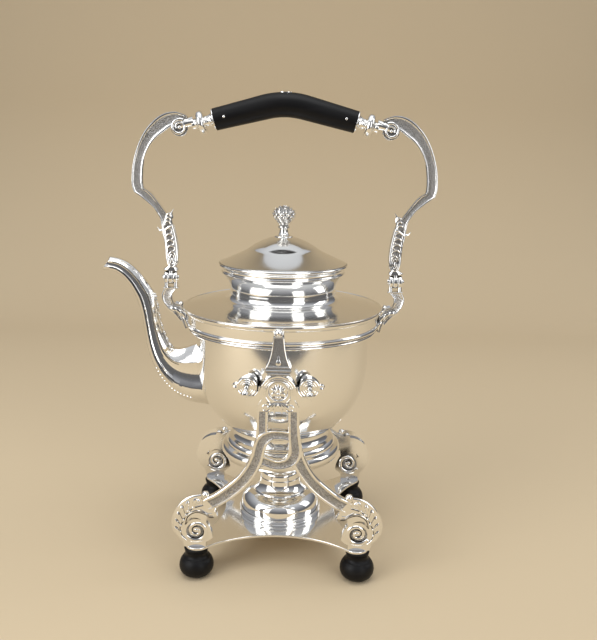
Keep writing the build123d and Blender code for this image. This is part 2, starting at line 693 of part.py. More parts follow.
# Arms of the handle: a bowed strap with raised edges, a volute above and a leaf below
arm_outer = [(-21.5, 145.0), (-14.5, 147.9), (-6.0, 149.7), (2.5, 148.4), (11.5, 143.2), (21.0, 132.9),
             (28.0, 119.4), (32.5, 104.4), (34.0, 92.4), (34.0, 83.4), (32.0, 78.0)]
arm_inner = [(-21.5, 135.8), (-15.5, 136.0), (-9.0, 135.8), (-3.0, 134.4), (3.5, 132.0), (11.0, 126.4),
             (17.5, 117.9), (21.9, 106.9), (23.5, 95.4), (23.8, 87.4), (23.1, 82.0)]
elbow_outer = [(32.0, 78.0), (25.4, 73.4), (15.8, 65.2), (9.3, 55.9), (8.3, 49.4)]
elbow_inner = [(23.1, 82.0), (16.3, 77.2), (6.7, 64.6), (1.5, 56.4), (-1.1, 49.4)]
leaf_outer = [(8.3, 49.4), (7.0, 41.4), (5.3, 34.4), (4.5, 27.4), (4.1, 18.4), (3.1, 12.9), (1.5, 9.9)]
leaf_inner = [(-1.1, 49.4), (-4.0, 41.4), (-5.7, 34.4), (-6.7, 27.4), (-6.9, 18.4), (-6.0, 12.9),
              (-3.1, 9.9)]
volute_spot = at_arm([(-10.1, 136.2)])[0]
arm = None
for outer, inner, half in (
    (arm_outer, arm_inner, half_arm), (elbow_outer, elbow_inner, half_arm),
    (leaf_outer, leaf_inner, half_arm + 0.6),
):
    piece = plate_of(band(at_arm(outer), at_arm(inner)), -half, half)
    arm = piece if arm is None else arm + piece
arm += plate_of(disc_at(*volute_spot, arm_volute_radius), -half_arm, half_arm)
for low, high in ((-half_arm - 1, -half_arm + channel_depth), (half_arm - channel_depth, half_arm + 1)):
    arm -= plate_of(band(at_arm(arm_outer[2:]), at_arm(arm_inner[2:]), 0.22, 0.78), low, high)
    arm -= plate_of(band(at_arm(elbow_outer), at_arm(elbow_inner), 0.22, 0.78), low, high)
arm += tube_along_y(*volute_spot, arm_volute_radius * 0.42, -half_arm - 1.4, half_arm + 1.4)
for x, z in at_arm([(9.0, 45.4), (0.6, 57.4)]):
    arm += tube_along_y(x, z, 2.2, -half_arm - 0.6, half_arm + 0.6)
knuckle_top = 6.8
block_height = leaf_outer[-1][1] * arm_rise + 0.7 - knuckle_top
block = Box(9.6, arm_thickness + 1.4, block_height)
arm += Pos(hinge_x - 0.8, 0, hinge_height + knuckle_top + block_height / 2) * block
arm += Pos(hinge_x, 0, hinge_height + knuckle_top / 2) * Box(tongue_width, 2 * knuckle_radius, knuckle_top)
arm += tube_along_x(hinge_height, knuckle_radius, hinge_x - tongue_width / 2, hinge_x + tongue_width / 2)
arm -= tube_along_x(hinge_height, hinge_pin_radius + running_gap, hinge_x - 20, hinge_x + 20)
for low, high in ((-20, -tongue_width / 2), (tongue_width / 2, 20)):
    arm -= tube_along_x(hinge_height, knuckle_radius + 2 * loose_gap, hinge_x + low, hinge_x + high)

# Ferrules: a turned collar, waist and socket on the axis of the grip's end, with a tang
end_turn = Pos(grip_end_x, 0, grip_end_height) * Rot(0, 90 + grip_slope, 0)
ferrule = end_turn * spun(corner_face([
    (0, -tang_length), (tang_radius - 0.5, -tang_length), (tang_radius, -tang_length + 0.8),
    (tang_radius, seat_gap),
    (grip_end_radius + 0.4, seat_gap), (grip_end_radius - 1.4, 1.8), (5.4, 4.0), (5.0, 7.0), (8.6, 8.6),
    (collar_disc_radius, 10.8), (collar_disc_radius, 13.4), (8.6, 15.4), (4.8, 17.4), (4.8, ferrule_length),
    (0, ferrule_length),
]))
rivet_spot = (end_turn * Pos(0, 0, -9.5)).position
rivet_half = grip_end_radius + 0.8
rivet = tube_along_y(rivet_spot.X, rivet_spot.Z, rivet_radius, -rivet_half, rivet_half)
rivet_hole = tube_along_y(rivet_spot.X, rivet_spot.Z, rivet_radius + seat_gap, -20, 20)
arm -= end_turn * (Pos(0, 0, ferrule_length / 2) * Cylinder(30, ferrule_length + 2 * seat_gap))
arm = max(arm.solids(), key=lambda solid: solid.volume)
write("arm_right", [arm])
write("arm_left", [turned * arm])
ferrule -= rivet_hole
write("ferrule_right", [ferrule])
write("ferrule_left", [turned * ferrule])

# Bent wooden grip: two tapering sides that run into one round bend
bend_x = grip_bend_radius * sin(radians(grip_slope))
straight = (grip_end_x - bend_x) / cos(radians(grip_slope))
grip_top = (grip_end_height + (grip_end_x - bend_x) * tan(radians(grip_slope))
            + grip_bend_radius * (1 - cos(radians(grip_slope))))
side = end_turn * Pos(0, 0, -straight / 2) * Cone(grip_middle_radius, grip_end_radius, straight)
bend_axis = Axis((0, 0, grip_top - grip_bend_radius), (0, 1, 0))
bend_start = Plane(origin=(0, 0, grip_top), x_dir=(0, 1, 0), z_dir=(1, 0, 0)) * Circle(grip_middle_radius)
bend = revolve(bend_start.rotate(bend_axis, -grip_slope), bend_axis, 2 * grip_slope)
grip = bend + side + turned * side
for half_turn in (Rot(0, 0, 0), turned):
    tang_hole = Pos(0, 0, -tang_length / 2) * Cylinder(tang_radius + seat_gap, tang_length + 1.0)
    grip -= half_turn * end_turn * tang_hole
    grip -= half_turn * rivet_hole
inlay_low = grip_top + grip_middle_radius - 1.2
inlay_face = Ellipse(grip_plate_length / 2, grip_plate_width / 2)
grip -= Pos(0, 0, inlay_low) * extrude(inlay_face, amount=3, dir=(0, 0, 1))
write("grip", [grip])
write("grip_plate", [Pos(0, 0, inlay_low) * extrude(
    Ellipse(grip_plate_length / 2 - seat_gap, grip_plate_width / 2 - seat_gap), amount=1.4, dir=(0, 0, 1))])
write("grip_rivets", [rivet, turned * rivet])

# Kettle lugs: a tapered corbel down from the rim, over a curved yoke with two bored lugs
# behind each side frame. The left lug turns on its pin, the right one hooks over its pin.
lug_back = bowl_radius - 14
corbel_low = pivot_height + 12.4
corbel_front = -rim_radius - 3.4
corbel_half = [
    (9.0, corbel_low), (9.0, corbel_low + 1.6), (10.7, corbel_low + 2.6), (10.7, corbel_low + 5.4),
    (9.8, corbel_low + 6.6), (6.9, corbel_low + 15), (5.0, corbel_low + 24), (4.4, corbel_low + 32),
]
lugs = plate_of(corner_face(corbel_half + mirrored(corbel_half)[::-1]), corbel_front, -bowl_radius + 8)
lugs += tube_along_y(0, corbel_low + 35.5, 3.6, corbel_front, -rim_radius + 4)
lugs += plate_of(corner_face([(-7.6, pivot_height - 12), (7.6, pivot_height - 12), (8.4, corbel_low + 3),
                              (-8.4, corbel_low + 3)]), -lug_face, -bowl_radius + 8)
lugs += plate_of(corner_face([(-pin_x, pivot_height - 12.6), (pin_x, pivot_height - 12.6),
                              (pin_x + 2, pivot_height - 4), (-pin_x - 2, pivot_height - 4)]),
                 -lug_face, -lug_back)
for x in (-pin_x, pin_x):
    lugs += tube_along_y(x, pivot_height, lug_radius, -lug_face, -lug_back)
for x in (-pin_x, pin_x):
    lugs -= tube_along_y(x, pivot_height, pin_radius + running_gap, -lug_back, -pin_reach)
hook_half = pin_radius + 0.5
lugs -= plate_of(corner_face([
    (pin_x - hook_half, pivot_height - 0.2), (pin_x + hook_half, pivot_height - 0.2),
    (pin_x + hook_half + 1, pivot_height - 20), (pin_x - hook_half - 2, pivot_height - 20),
]), -pin_reach, -lug_back)
lugs = lugs - bowl_seat - rim_seat_body
lugs = max(lugs.solids(), key=lambda solid: solid.volume)
write("kettle_lugs_front", [lugs])
write("kettle_lugs_back", [mirror(lugs, Plane.XZ)])

# Lid: a domed sheet in a moulded edge with a plug that fits the neck
dome_curve = [(lid_radius - 1.2, lid_rim_height), (lid_radius - 12.0, lid_rim_height + 4.6),
              (lid_radius * 0.55, lid_rim_height + 12.0), (lid_radius * 0.33, lid_rim_height + 19.8),
              (9.0, finial_base)]
dome_inside = inset(dome_curve, sheet)
stud_bore = finial_stud_radius + seat_gap
write("lid_dome", [spun(chain_face(
    dome_curve,
    *sides([dome_curve[-1], (stud_bore, finial_base), (stud_bore, finial_base - sheet), *dome_inside[::-1],
            dome_curve[0]]),
))])
plug_radius = neck_radius - sheet - loose_gap - 0.4
rim_seat = inset(dome_curve, sheet + seat_gap)[0]
write("lid_rim", [spun(corner_face([
    (plug_radius, lid_seat), (mouth_radius - 0.4, lid_seat), (mouth_radius + 1.0, lid_seat + 1.4),
    (mouth_radius + 0.2, lid_seat + 2.8), (lid_radius - 0.4, lid_rim_height - 3.0),
    (lid_radius, lid_rim_height - 1.6),
    (lid_radius - 0.8, lid_rim_height - 0.4), rim_seat, (plug_radius + 2, lid_seat + 2.4),
    (plug_radius - sheet, lid_seat + 2.4), (plug_radius - sheet, lid_seat - plug_length),
    (plug_radius, lid_seat - plug_length),
]))])

# Finial: a turned stem, a bud of overlapping rows, and the nut that holds them
stem_base = finial_base + seat_gap
stem_top = stem_base + 9.6
bud_low = stem_top + seat_gap
bud_scale = finial_bud_height / 19.0
write("finial_stem", [spun(corner_face([
    (0, finial_base - 5.4), (finial_stud_radius, finial_base - 5.4), (finial_stud_radius, stem_base),
    (9.0, stem_base), (8.2, stem_base + 1.2), (5.0, stem_base + 4.2), (3.6, stem_base + 7.4),
    (4.2, stem_top),
    (0, stem_top),
]))])
write("finial_bud", [spun(corner_face([
    (radius * finial_bud_radius, bud_low + rise * bud_scale) for radius, rise in (
    (0, 0), (0.39, 0), (0.5, 2.6), (0.84, 6.0), (0.78, 6.6), (1.0, 10.0), (0.9, 10.6), (0.92, 14.0),
    (0.74, 14.6),
    (0.56, 17.4), (0, 19.0),
)]))])
write("finial_nut", [disc_ring(5.0, finial_stud_radius + seat_gap, finial_base - sheet - 3.0,
                               finial_base - sheet - seat_gap)])
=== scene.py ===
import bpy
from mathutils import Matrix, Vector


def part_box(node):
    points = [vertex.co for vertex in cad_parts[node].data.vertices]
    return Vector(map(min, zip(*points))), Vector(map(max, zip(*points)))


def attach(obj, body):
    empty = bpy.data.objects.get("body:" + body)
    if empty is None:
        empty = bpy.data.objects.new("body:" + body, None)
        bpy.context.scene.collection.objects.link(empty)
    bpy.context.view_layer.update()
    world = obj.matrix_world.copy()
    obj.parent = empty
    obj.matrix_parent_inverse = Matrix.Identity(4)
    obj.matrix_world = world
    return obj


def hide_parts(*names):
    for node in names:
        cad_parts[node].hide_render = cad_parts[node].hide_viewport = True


bl_info = {
    "name": "Silver Tea Kettle on Stand",
    "version": (1, 0, 0),
    "blender": (4, 5, 0),
    "location": "View3D > Sidebar > Kettle",
    "description": "Models the finished looks of a tilting tea kettle with its stand and spirit lamp",
    "category": "Add Mesh",
}

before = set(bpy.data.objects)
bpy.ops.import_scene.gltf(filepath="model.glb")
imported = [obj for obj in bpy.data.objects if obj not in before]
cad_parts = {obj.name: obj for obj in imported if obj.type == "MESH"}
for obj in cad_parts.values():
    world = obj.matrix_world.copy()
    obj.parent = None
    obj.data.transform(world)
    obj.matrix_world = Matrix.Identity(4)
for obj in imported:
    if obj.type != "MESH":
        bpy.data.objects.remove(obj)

from math import atan2, cos, hypot, pi, radians, sin, tan

import bmesh
import bpy
from mathutils import Matrix, Vector


def at(spot):
    """The placing that moves a shape's origin to a spot."""
    return Matrix.Translation(spot)


def about(axis, angle):
    """The placing that turns a shape about an axis, by radians."""
    return Matrix.Rotation(angle, 4, axis)


# Everything is modelled in millimetres about the kettle's own axis, and set into the frame at the end.
MM = 0.001
AXIS_X = sum(corner.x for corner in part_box("kettle_bowl")) / 2
TO_FRAME = at((AXIS_X, 0, 0)) @ Matrix.Scale(MM, 4)
UNTURNED, TURNED = Matrix.Identity(4), about("Z", pi)
RIGHT_AND_LEFT = (("right", UNTURNED), ("left", TURNED))


def low(node):
    """The node's lowest height in millimetres."""
    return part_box(node)[0].z / MM


def high(node):
    """The node's greatest height in millimetres."""
    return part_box(node)[1].z / MM


def breadth(node):
    """Half the node's extent from front to back in millimetres."""
    near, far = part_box(node)
    return (far.y - near.y) / 2 / MM


BOWL_RADIUS = breadth("kettle_bowl")
PIVOT_HEIGHT = low("kettle_bowl") + BOWL_RADIUS
WALL_TOP = high("kettle_bowl")
PLATE_TOP = high("base_plate")
BAND_TOP = high("rim_band")
RIM_RADIUS = breadth("kettle_shoulder")
MOUTH_HEIGHT = high("kettle_shoulder")
RIM_HEIGHT = BAND_TOP + 1.2
LID_LOW = MOUTH_HEIGHT + 0.05
LID_EDGE = LID_LOW + 10.0
LID_RADIUS = breadth("lid_rim")
FINIAL_BASE = high("lid_dome")
HINGE_HEIGHT = (low("hinge_pin_right") + high("hinge_pin_right")) / 2
FOOT_X, FOOT_Y = 73.2, 76.7
FOOT_INSET = 4.0
PLATE_TRIM = (0.985, 0.945, 1)
FRAME_LEAN = 3.6
HALF_FRAME = 2.5
CHANNEL_DEPTH = 0.7
SCROLL_EYE = (FOOT_X - 1.4, PLATE_TOP + 16.6)
HEAD_HEIGHT = PIVOT_HEIGHT - 3.2
LUG_FACE = RIM_RADIUS + 3.4
HINGE_X = 104.5
GRIP_SLOPE = 14.4
PIN_X = 26.5
ARM_HALF, ARM_LEAF_HALF = 3.8, 4.2
GRIP_RADIUS, GRIP_END_RADIUS = 10.9, 9.8
TO_HINGE = at((HINGE_X, 0, HINGE_HEIGHT))
SPOUT_WALL = 1.5

# How dark a sunk place is: tarnished, stippled, or painted shade, which blends it towards near-black where a groove,
# hollow or shadow is painted in.
TARNISHED, STIPPLED, PAINTED_SHADE = 1.0, 1.45, 2.0


def colour_setting(name, description, default):
    """A colour that the panel shows."""
    return bpy.props.FloatVectorProperty(
        name=name, description=description, subtype="COLOR", size=3, min=0, max=1, default=default)


class SilverSettings(bpy.types.PropertyGroup):
    silver_colour: colour_setting("Silver", "Colour of the polished silver", (0.93, 0.925, 0.91))
    tarnish_colour: colour_setting("Tarnish", "Colour of the silver in its recesses", (0.24, 0.235, 0.23))
    wood_colour: colour_setting("Black wood", "Colour of the ebonised grip and feet", (0.0035, 0.0033, 0.0038))
    floor_colour: colour_setting("Floor", "Colour of the plain floor and backdrop", (0.64, 0.52, 0.35))
    polish: bpy.props.FloatProperty(
        name="Polish", description="Roughness of the polished silver", subtype="FACTOR", min=0, max=1, default=0.09)


class TurningSettings(bpy.types.PropertyGroup):
    steps: bpy.props.IntProperty(
        name="Steps", description="Facets round a large turned piece", min=24, max=256, default=144)
    edge_round: bpy.props.FloatProperty(
        name="Edge round", description="Rounding of a moulding's corners, in millimetres", min=0.05, max=1,
        default=0.35)


class Socket:
    """A shader value that can be added, multiplied and compared like a number."""

    def __init__(self, tree, socket):
        self.tree = tree
        self.socket = socket

    def _math(self, operation, *values):
        node = self.tree.nodes.new("ShaderNodeMath")
        node.operation = operation
        for slot_in, value in zip(node.inputs, values):
            if isinstance(value, Socket):
                self.tree.links.new(value.socket, slot_in)
            else:
                slot_in.default_value = value
        return Socket(self.tree, node.outputs[0])

    def __add__(self, other):
        return self._math("ADD", self, other)

    __radd__ = __add__

    def __mul__(self, other):
        return self._math("MULTIPLY", self, other)

    __rmul__ = __mul__

    def __sub__(self, other):
        return self._math("SUBTRACT", self, other)

    def __rsub__(self, other):
        return self._math("SUBTRACT", other, self)

    def clamped(self, start, end):
        """0 below start, 1 above end, straight between."""
        scaled = (self - start) * (1 / (end - start))
        return scaled._math("MINIMUM", scaled._math("MAXIMUM", scaled, 0.0), 1.0)


class Finish:
    """A material under construction: its nodes, and the Principled shader they end in."""

    def __init__(self, name):
        self.material = bpy.data.materials.new(name)
        self.material.use_nodes = True
        self.tree = self.material.node_tree
        self.tree.nodes.clear()
        self.shader = self.tree.nodes.new("ShaderNodeBsdfPrincipled")
        output = self.tree.nodes.new("ShaderNodeOutputMaterial")
        self.tree.links.new(self.shader.outputs[0], output.inputs["Surface"])

    def node(self, kind, settings=None, inputs=None, output=0):
        made = self.tree.nodes.new(kind)
        for key, value in (settings or {}).items():
            setattr(made, key, value)
        for key, value in (inputs or {}).items():
            self.feed(made.inputs[key], value)
        return Socket(self.tree, made.outputs[output])

    def feed(self, slot_in, value):
        if isinstance(value, Socket):
            self.tree.links.new(value.socket, slot_in)
        else:
            slot_in.default_value = value

    def surface(self, **values):
        for key, value in values.items():
            self.feed(self.shader.inputs[key.replace("_", " ")], value)

    def places(self, scale=(1, 1, 1)):
        """Object coordinates stretched by scale."""
        spot = self.node("ShaderNodeTexCoord", output="Object")
        return self.node("ShaderNodeMapping", inputs={"Vector": spot, "Scale": scale})

    def noise(self, scale, detail=3.0, stretch=(1, 1, 1)):
        return self.node("ShaderNodeTexNoise", inputs={
            "Vector": self.places(stretch), "Scale": scale, "Detail": detail, "Roughness": 0.55})

    def blend(self, share, first, second):
        """A colour between two."""
        mixed = self.tree.nodes.new("ShaderNodeMix")
        mixed.data_type = "RGBA"
        self.feed(mixed.inputs["Factor"], share)
        self.feed(mixed.inputs["A"], first)
        self.feed(mixed.inputs["B"], second)
        return Socket(self.tree, mixed.outputs["Result"])

    def bump(self, height, distance, strength=1.0):
        return self.node("ShaderNodeBump", inputs={"Height": height, "Distance": distance, "Strength": strength})


def colour(values):
    """A shader colour from red, green and blue."""
    return (*values, 1.0)


def silver_finish(settings):
    """Polished silver plate with soft handling marks, tarnish where a piece says that it is sunk, near-black painted
    shade where that mark goes past full tarnish, and painted shade in the hollows from ambient occlusion.
    """
    finish = Finish("polished_silver")
    cloud = finish.noise(14.0, 2.0).clamped(0.35, 0.75)
    wear = finish.noise(90.0, 4.0).clamped(0.45, 0.75)
    sunk = finish.node("ShaderNodeAttribute", {"attribute_name": "sunk"}, output="Fac")
    # Ambient occlusion darkens the base colour towards near-black in the hollows: painted shade.
    unoccluded_share = finish.node("ShaderNodeAmbientOcclusion", {"samples": 8}, {"Distance": 0.0035}, output="AO")
    painted_recess_shade = (1 - unoccluded_share).clamped(0.45, 0.95)
    grit = finish.noise(1100.0, 1.0).clamped(0.35, 0.65)
    handled, rubbed, black = colour((0.88, 0.86, 0.82)), colour((0.56, 0.55, 0.54)), colour((0.045, 0.043, 0.042))
    plate = finish.blend(cloud * 0.25, colour(settings.silver_colour), handled)
    dull = finish.blend(grit, colour(settings.tarnish_colour), rubbed)
    worn = finish.blend(sunk.clamped(0.0, TARNISHED), plate, dull)
    # Past full tarnish the sunk mark blends towards near-black: the stippled ground's darker tone, and painted shade
    # at the top of the scale.
    stipple_and_painted_shade = finish.blend(sunk.clamped(TARNISHED, PAINTED_SHADE), worn, black)
    finish.surface(
        Base_Color=finish.blend(painted_recess_shade * 0.9, stipple_and_painted_shade, black), Metallic=1.0,
        Roughness=settings.polish + wear * 0.03 + cloud * 0.02 + sunk * 0.18 + painted_recess_shade * 0.2,
        Normal=finish.bump(sunk * grit, 0.0004, 0.8))
    return finish.material


def wood_finish(settings):
    """Ebonised wood under a thin satin polish, with a faint grain along the grip."""
    finish = Finish("ebonised_wood")
    grain = finish.noise(220.0, 5.0, (0.12, 1.0, 1.0))
    rubbed = finish.noise(35.0, 3.0).clamped(0.45, 0.8)
    streaked = colour((0.010, 0.009, 0.009))
    finish.surface(
        Base_Color=finish.blend(grain.clamped(0.5, 0.8) * 0.5, colour(settings.wood_colour), streaked),
        Roughness=0.42 + rubbed * 0.12, Normal=finish.bump(grain, 0.0002, 0.2))
    finish.shader.inputs["Specular IOR Level"].default_value = 0.22
    return finish.material


def wick_finish():
    """Woven cotton, a little charred."""
    finish = Finish("wick_cotton")
    weave = finish.noise(900.0, 2.0)
    finish.surface(Base_Color=finish.blend(weave, colour((0.62, 0.55, 0.43)), colour((0.84, 0.79, 0.68))),
                   Roughness=0.9, Normal=finish.bump(weave, 0.0003, 0.6))
    return finish.material


FINISHES = {}


def finish_of(slot_name):
    """The material of a slot; all are made at the first call."""
    if not FINISHES:
        settings = bpy.context.scene.silver_settings
        FINISHES.update(polished_silver=silver_finish(settings), ebonised_wood=wood_finish(settings),
                        wick_cotton=wick_finish())
    return FINISHES[slot_name]


def settle(bm, place):
    """Sets a whole shape in its place."""
    bmesh.ops.transform(bm, matrix=place, verts=bm.verts)


def verts_of(made):
    """The points among what an operator made."""
    return [item for item in made["geom"] if isinstance(item, bmesh.types.BMVert)]


def piece(bm, name, body, nodes, slot_name="polished_silver", sharp=32.0):
    """A finished object from a bmesh in millimetres, riding on a body and standing for its CAD nodes."""
    settle(bm, TO_FRAME)
    mesh = bpy.data.meshes.new(name)
    bm.to_mesh(mesh)
    bm.free()
    mesh.polygons.foreach_set("use_smooth", [True] * len(mesh.polygons))
    mesh.set_sharp_from_angle(angle=radians(sharp))
    made = bpy.data.objects.new(name, mesh)
    bpy.context.scene.collection.objects.link(made)
    mesh.materials.append(finish_of(slot_name))
    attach(made, body)
    if nodes:
        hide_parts(*nodes)
    return made


def arc(start, middle, end, count=8):
    """Points along the circle through three, without the first."""
    (ax, ay), (bx, by), (cx, cy) = start, middle, end
    double = 2 * (ax * (by - cy) + bx * (cy - ay) + cx * (ay - by))
    aa, bb, cc = ax * ax + ay * ay, bx * bx + by * by, cx * cx + cy * cy
    ux = (aa * (by - cy) + bb * (cy - ay) + cc * (ay - by)) / double
    uy = (aa * (cx - bx) + bb * (ax - cx) + cc * (bx - ax)) / double
    radius = hypot(ax - ux, ay - uy)
    first = atan2(ay - uy, ax - ux)
    turn = (atan2(cy - uy, cx - ux) - first) % (2 * pi)
    if (atan2(by - uy, bx - ux) - first) % (2 * pi) > turn:
        turn -= 2 * pi
    return [(ux + radius * cos(first + turn * i / count), uy + radius * sin(first + turn * i / count))
            for i in range(1, count + 1)]


def path(*runs):
    """Points joined from runs: a point goes straight on, a pair of points bends through the first to the second."""
    points = [runs[0]]
    for run in runs[1:]:
        if isinstance(run[0], tuple):
            points += arc(points[-1], run[0], run[1], run[2] if len(run) > 2 else 8)
        else:
            points.append(run)
    return points


def bend_at(vert):
    """The angle that a profile turns by at a point."""
    first, second = (edge.other_vert(vert).co - vert.co for edge in vert.link_edges)
    if first.length < 1e-9 or second.length < 1e-9:
        return 0.0
    return pi - first.angle(second)


def turned_bm(points, places=(UNTURNED,), steps=None, edge_round=None):
    """A closed shape spun about Z from (radius, height) points, with its corners rounded, at each place."""
    settings = bpy.context.scene.turning_settings
    rounding = settings.edge_round if edge_round is None else edge_round
    on_axis = 1e-6
    single = bmesh.new()
    verts = [single.verts.new((x, 0, z)) for x, z in points]
    for pair in zip(verts, verts[1:]):
        single.edges.new(pair)
    if points[0][0] > on_axis or points[-1][0] > on_axis:
        single.edges.new((verts[-1], verts[0]))
    corners = [v for v in verts if len(v.link_edges) == 2 and bend_at(v) > radians(20) and v.co.x > on_axis]
    if corners and rounding:
        bmesh.ops.bevel(single, geom=corners, offset=rounding, offset_type="OFFSET", segments=4, profile=0.5,
                        affect="VERTICES", clamp_overlap=True, material=-1)
    bmesh.ops.spin(single, geom=list(single.verts) + list(single.edges), cent=(0, 0, 0), axis=(0, 0, 1),
                   angle=2 * pi, steps=steps or settings.steps, use_merge=True, dvec=(0, 0, 0))
    bmesh.ops.remove_doubles(single, verts=single.verts, dist=1e-4)
    bmesh.ops.recalc_face_normals(single, faces=single.faces)
    mesh = bpy.data.meshes.new("turned")
    single.to_mesh(mesh)
    single.free()
    whole = bmesh.new()
    for place in places:
        first = len(whole.verts)
        whole.from_mesh(mesh)
        whole.verts.ensure_lookup_table()
        bmesh.ops.transform(whole, matrix=place, verts=whole.verts[first:])
    bpy.data.meshes.remove(mesh)
    return whole


def joined(bm, other):
    """Adds a finished shape to a larger one."""
    mesh = bpy.data.meshes.new("part")
    other.to_mesh(mesh)
    other.free()
    bm.from_mesh(mesh)
    bpy.data.meshes.remove(mesh)


def bead(bm, spot, size, segments=16, stretch=(1, 1, 1), turn=UNTURNED):
    """A ball, or a drop where it is stretched."""
    place = at(spot) @ turn @ Matrix.Diagonal((*stretch, 1))
    bmesh.ops.create_uvsphere(bm, u_segments=segments, v_segments=segments // 2 + 2, radius=size, matrix=place)


def ring_of(bm, spots):
    """A closed ring of edges through points."""
    verts = [bm.verts.new(spot) for spot in spots]
    return [bm.edges.new(pair) for pair in zip(verts, verts[1:] + verts[:1])]


def swept(bm, spots, radii, sides=10, flat=1.0, across=Vector((0, 1, 0)), dark=0.0):
    """A round or flattened bar along points, bridged ring by ring and capped."""
    bar = bmesh.new()
    layer = bar.verts.layers.float.new("sunk")
    turns = [2 * pi * k / sides for k in range(sides)]
    rings = []
    for i, spot in enumerate(spots):
        ahead = (spots[min(i + 1, len(spots) - 1)] - spots[max(i - 1, 0)]).normalized()
        side = across.cross(ahead)
        side = side.normalized() if side.length > 1e-6 else Vector((0, 0, 1))
        up = ahead.cross(side).normalized() * flat
        radius = radii[i] if isinstance(radii, list) else radii
        rings.append(ring_of(bar, [spot + radius * (side * cos(turn) + up * sin(turn)) for turn in turns]))
    for vert in bar.verts:
        vert[layer] = dark
    bridged(bar, rings)
    joined(bm, bar)


def bridged(bm, rings):
    """Bridges rings of edges in their order and closes the ends."""
    for ring, following in zip(rings, rings[1:]):
        bmesh.ops.bridge_loops(bm, edges=ring + following)
    for ring in (rings[0], rings[-1]):
        bmesh.ops.contextual_create(bm, geom=ring)
    bmesh.ops.recalc_face_normals(bm, faces=bm.faces)


def smooth_between(a, b, c, d, t):
    """A smooth value between b and c, which a and d lead into and out of."""
    return 0.5 * (2 * b + (c - a) * t + (2 * a - 5 * b + 4 * c - d) * t * t + (3 * b - a - 3 * c + d) * t ** 3)


def smooth_curve(points, fine=6):
    """More points, on a smooth line through the given ones."""
    made = []
    for i in range(len(points) - 1):
        quad = [points[max(i - 1, 0)], points[i], points[i + 1], points[min(i + 2, len(points) - 1)]]
        made += [tuple(smooth_between(*values, k / fine) for values in zip(*quad)) for k in range(fine)]
    return made + [tuple(points[-1])]


def whole_section(half):
    """A cross-section from its first half: (share of the width, share of the half thickness)."""
    return half + [(1 - share, depth) for share, depth in half[-2::-1]]


CHANNELLED = whole_section([(0.0, 0.6), (0.015, 0.84), (0.05, 0.97), (0.10, 1.0), (0.15, 0.98), (0.19, 0.90),
                            (0.26, 0.76), (0.38, 0.70), (0.5, 0.68)])
ROUNDED = whole_section([(0.0, 0.35), (0.04, 0.66), (0.12, 0.84), (0.28, 0.96), (0.5, 1.0)])


def strap(bm, outer, inner, half, cross, fine=6, dark=0.0, forward=None):
    """A flat band between two curves, whose faces follow a cross-section: (share of the width, share of half).

    The middle of the cross-section is as dark as dark says: tarnished up to full tarnish, and near-black painted
    shade beyond it. With forward, the band only stands out in front of it.
    """
    band = bmesh.new()
    layer = band.verts.layers.float.new("sunk")
    first, last = half if isinstance(half, tuple) else (half, half)
    lines = list(zip(smooth_curve(outer, fine), smooth_curve(inner, fine)))
    rings, marks = [], []
    for i, ((ax, az), (bx, bz)) in enumerate(lines):
        reach = first + (last - first) * i / (len(lines) - 1)
        spots = []
        for face, row in ((-1, cross), (1, cross[::-1])):
            for share, depth in row:
                y = face * reach * depth if forward is None else -forward - (reach * depth if face < 0 else 0)
                spots.append((ax + (bx - ax) * share, y, az + (bz - az) * share))
                marks.append(dark if 0.22 < share < 0.78 else 0.0)
        rings.append(ring_of(band, spots))
    for vert, mark in zip(band.verts, marks):
        vert[layer] = mark
    bridged(band, rings)
    joined(bm, band)


def leaf(bm, points, width, thick=0.5, vein=True):
    """A pointed leaf blade along points (x, y, z), widest a third of the way up, with a raised vein."""
    spots = [Vector(spot) for spot in smooth_curve(points, 4)]
    last = len(spots) - 1
    radii = [max(0.12, width * min(1.0, (i / last + 0.12) * 2.6) * (1 - i / last) ** 0.65) for i in range(last + 1)]
    swept(bm, spots, radii, 10, thick)
    if vein:
        face = -1 if spots[0].y < 0 else 1
        lift = Vector((0, face * width * thick * 0.75, 0))
        swept(bm, [spot + lift * (1 - i / last) for i, spot in enumerate(spots)], [r * 0.22 for r in radii], 6)


def along(points, y):
    """Points (x, z) set at a depth."""
    return [Vector((x, y, z)) for x, z in points]


def on_side(points, side):
    """Points drawn on the right, or their mirror image on the left where side is -1."""
    return [(side * x, z) for x, z in points]


def drawn(bm, points, y, size, fine=6, dark=0.0, sides=8):
    """A line at a depth, on a smooth curve through points (x, z)."""
    swept(bm, along(smooth_curve(points, fine), y), size, sides, dark=dark)


def frame_to_upright(front=True):
    """From a side frame drawn upright in the plane y = 0 to its leaning place."""
    lean = at((0, -FOOT_Y, PLATE_TOP)) @ about("X", radians(FRAME_LEAN)) @ at((0, 0, -PLATE_TOP))
    return lean if front else TURNED @ lean


def cad_bm(*nodes):
    """The CAD nodes' own shape in millimetres, with its loose triangles joined and flat stretches made one."""
    bm = bmesh.new()
    for node in nodes:
        bm.from_mesh(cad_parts[node].data)
    settle(bm, TO_FRAME.inverted())
    bmesh.ops.remove_doubles(bm, verts=bm.verts, dist=2e-3)
    bmesh.ops.dissolve_limit(bm, angle_limit=radians(1.0), verts=bm.verts, edges=bm.edges,
                             use_dissolve_boundaries=False)
    return bm


def soften(made, width, segments=2, angle=28.0):
    """Rounds a piece's sharp edges."""
    bevel = made.modifiers.new("Edge", "BEVEL")
    bevel.width = width * MM
    bevel.segments = segments
    bevel.limit_method = "ANGLE"
    bevel.angle_limit = radians(angle)
    bevel.harden_normals = False
    return made


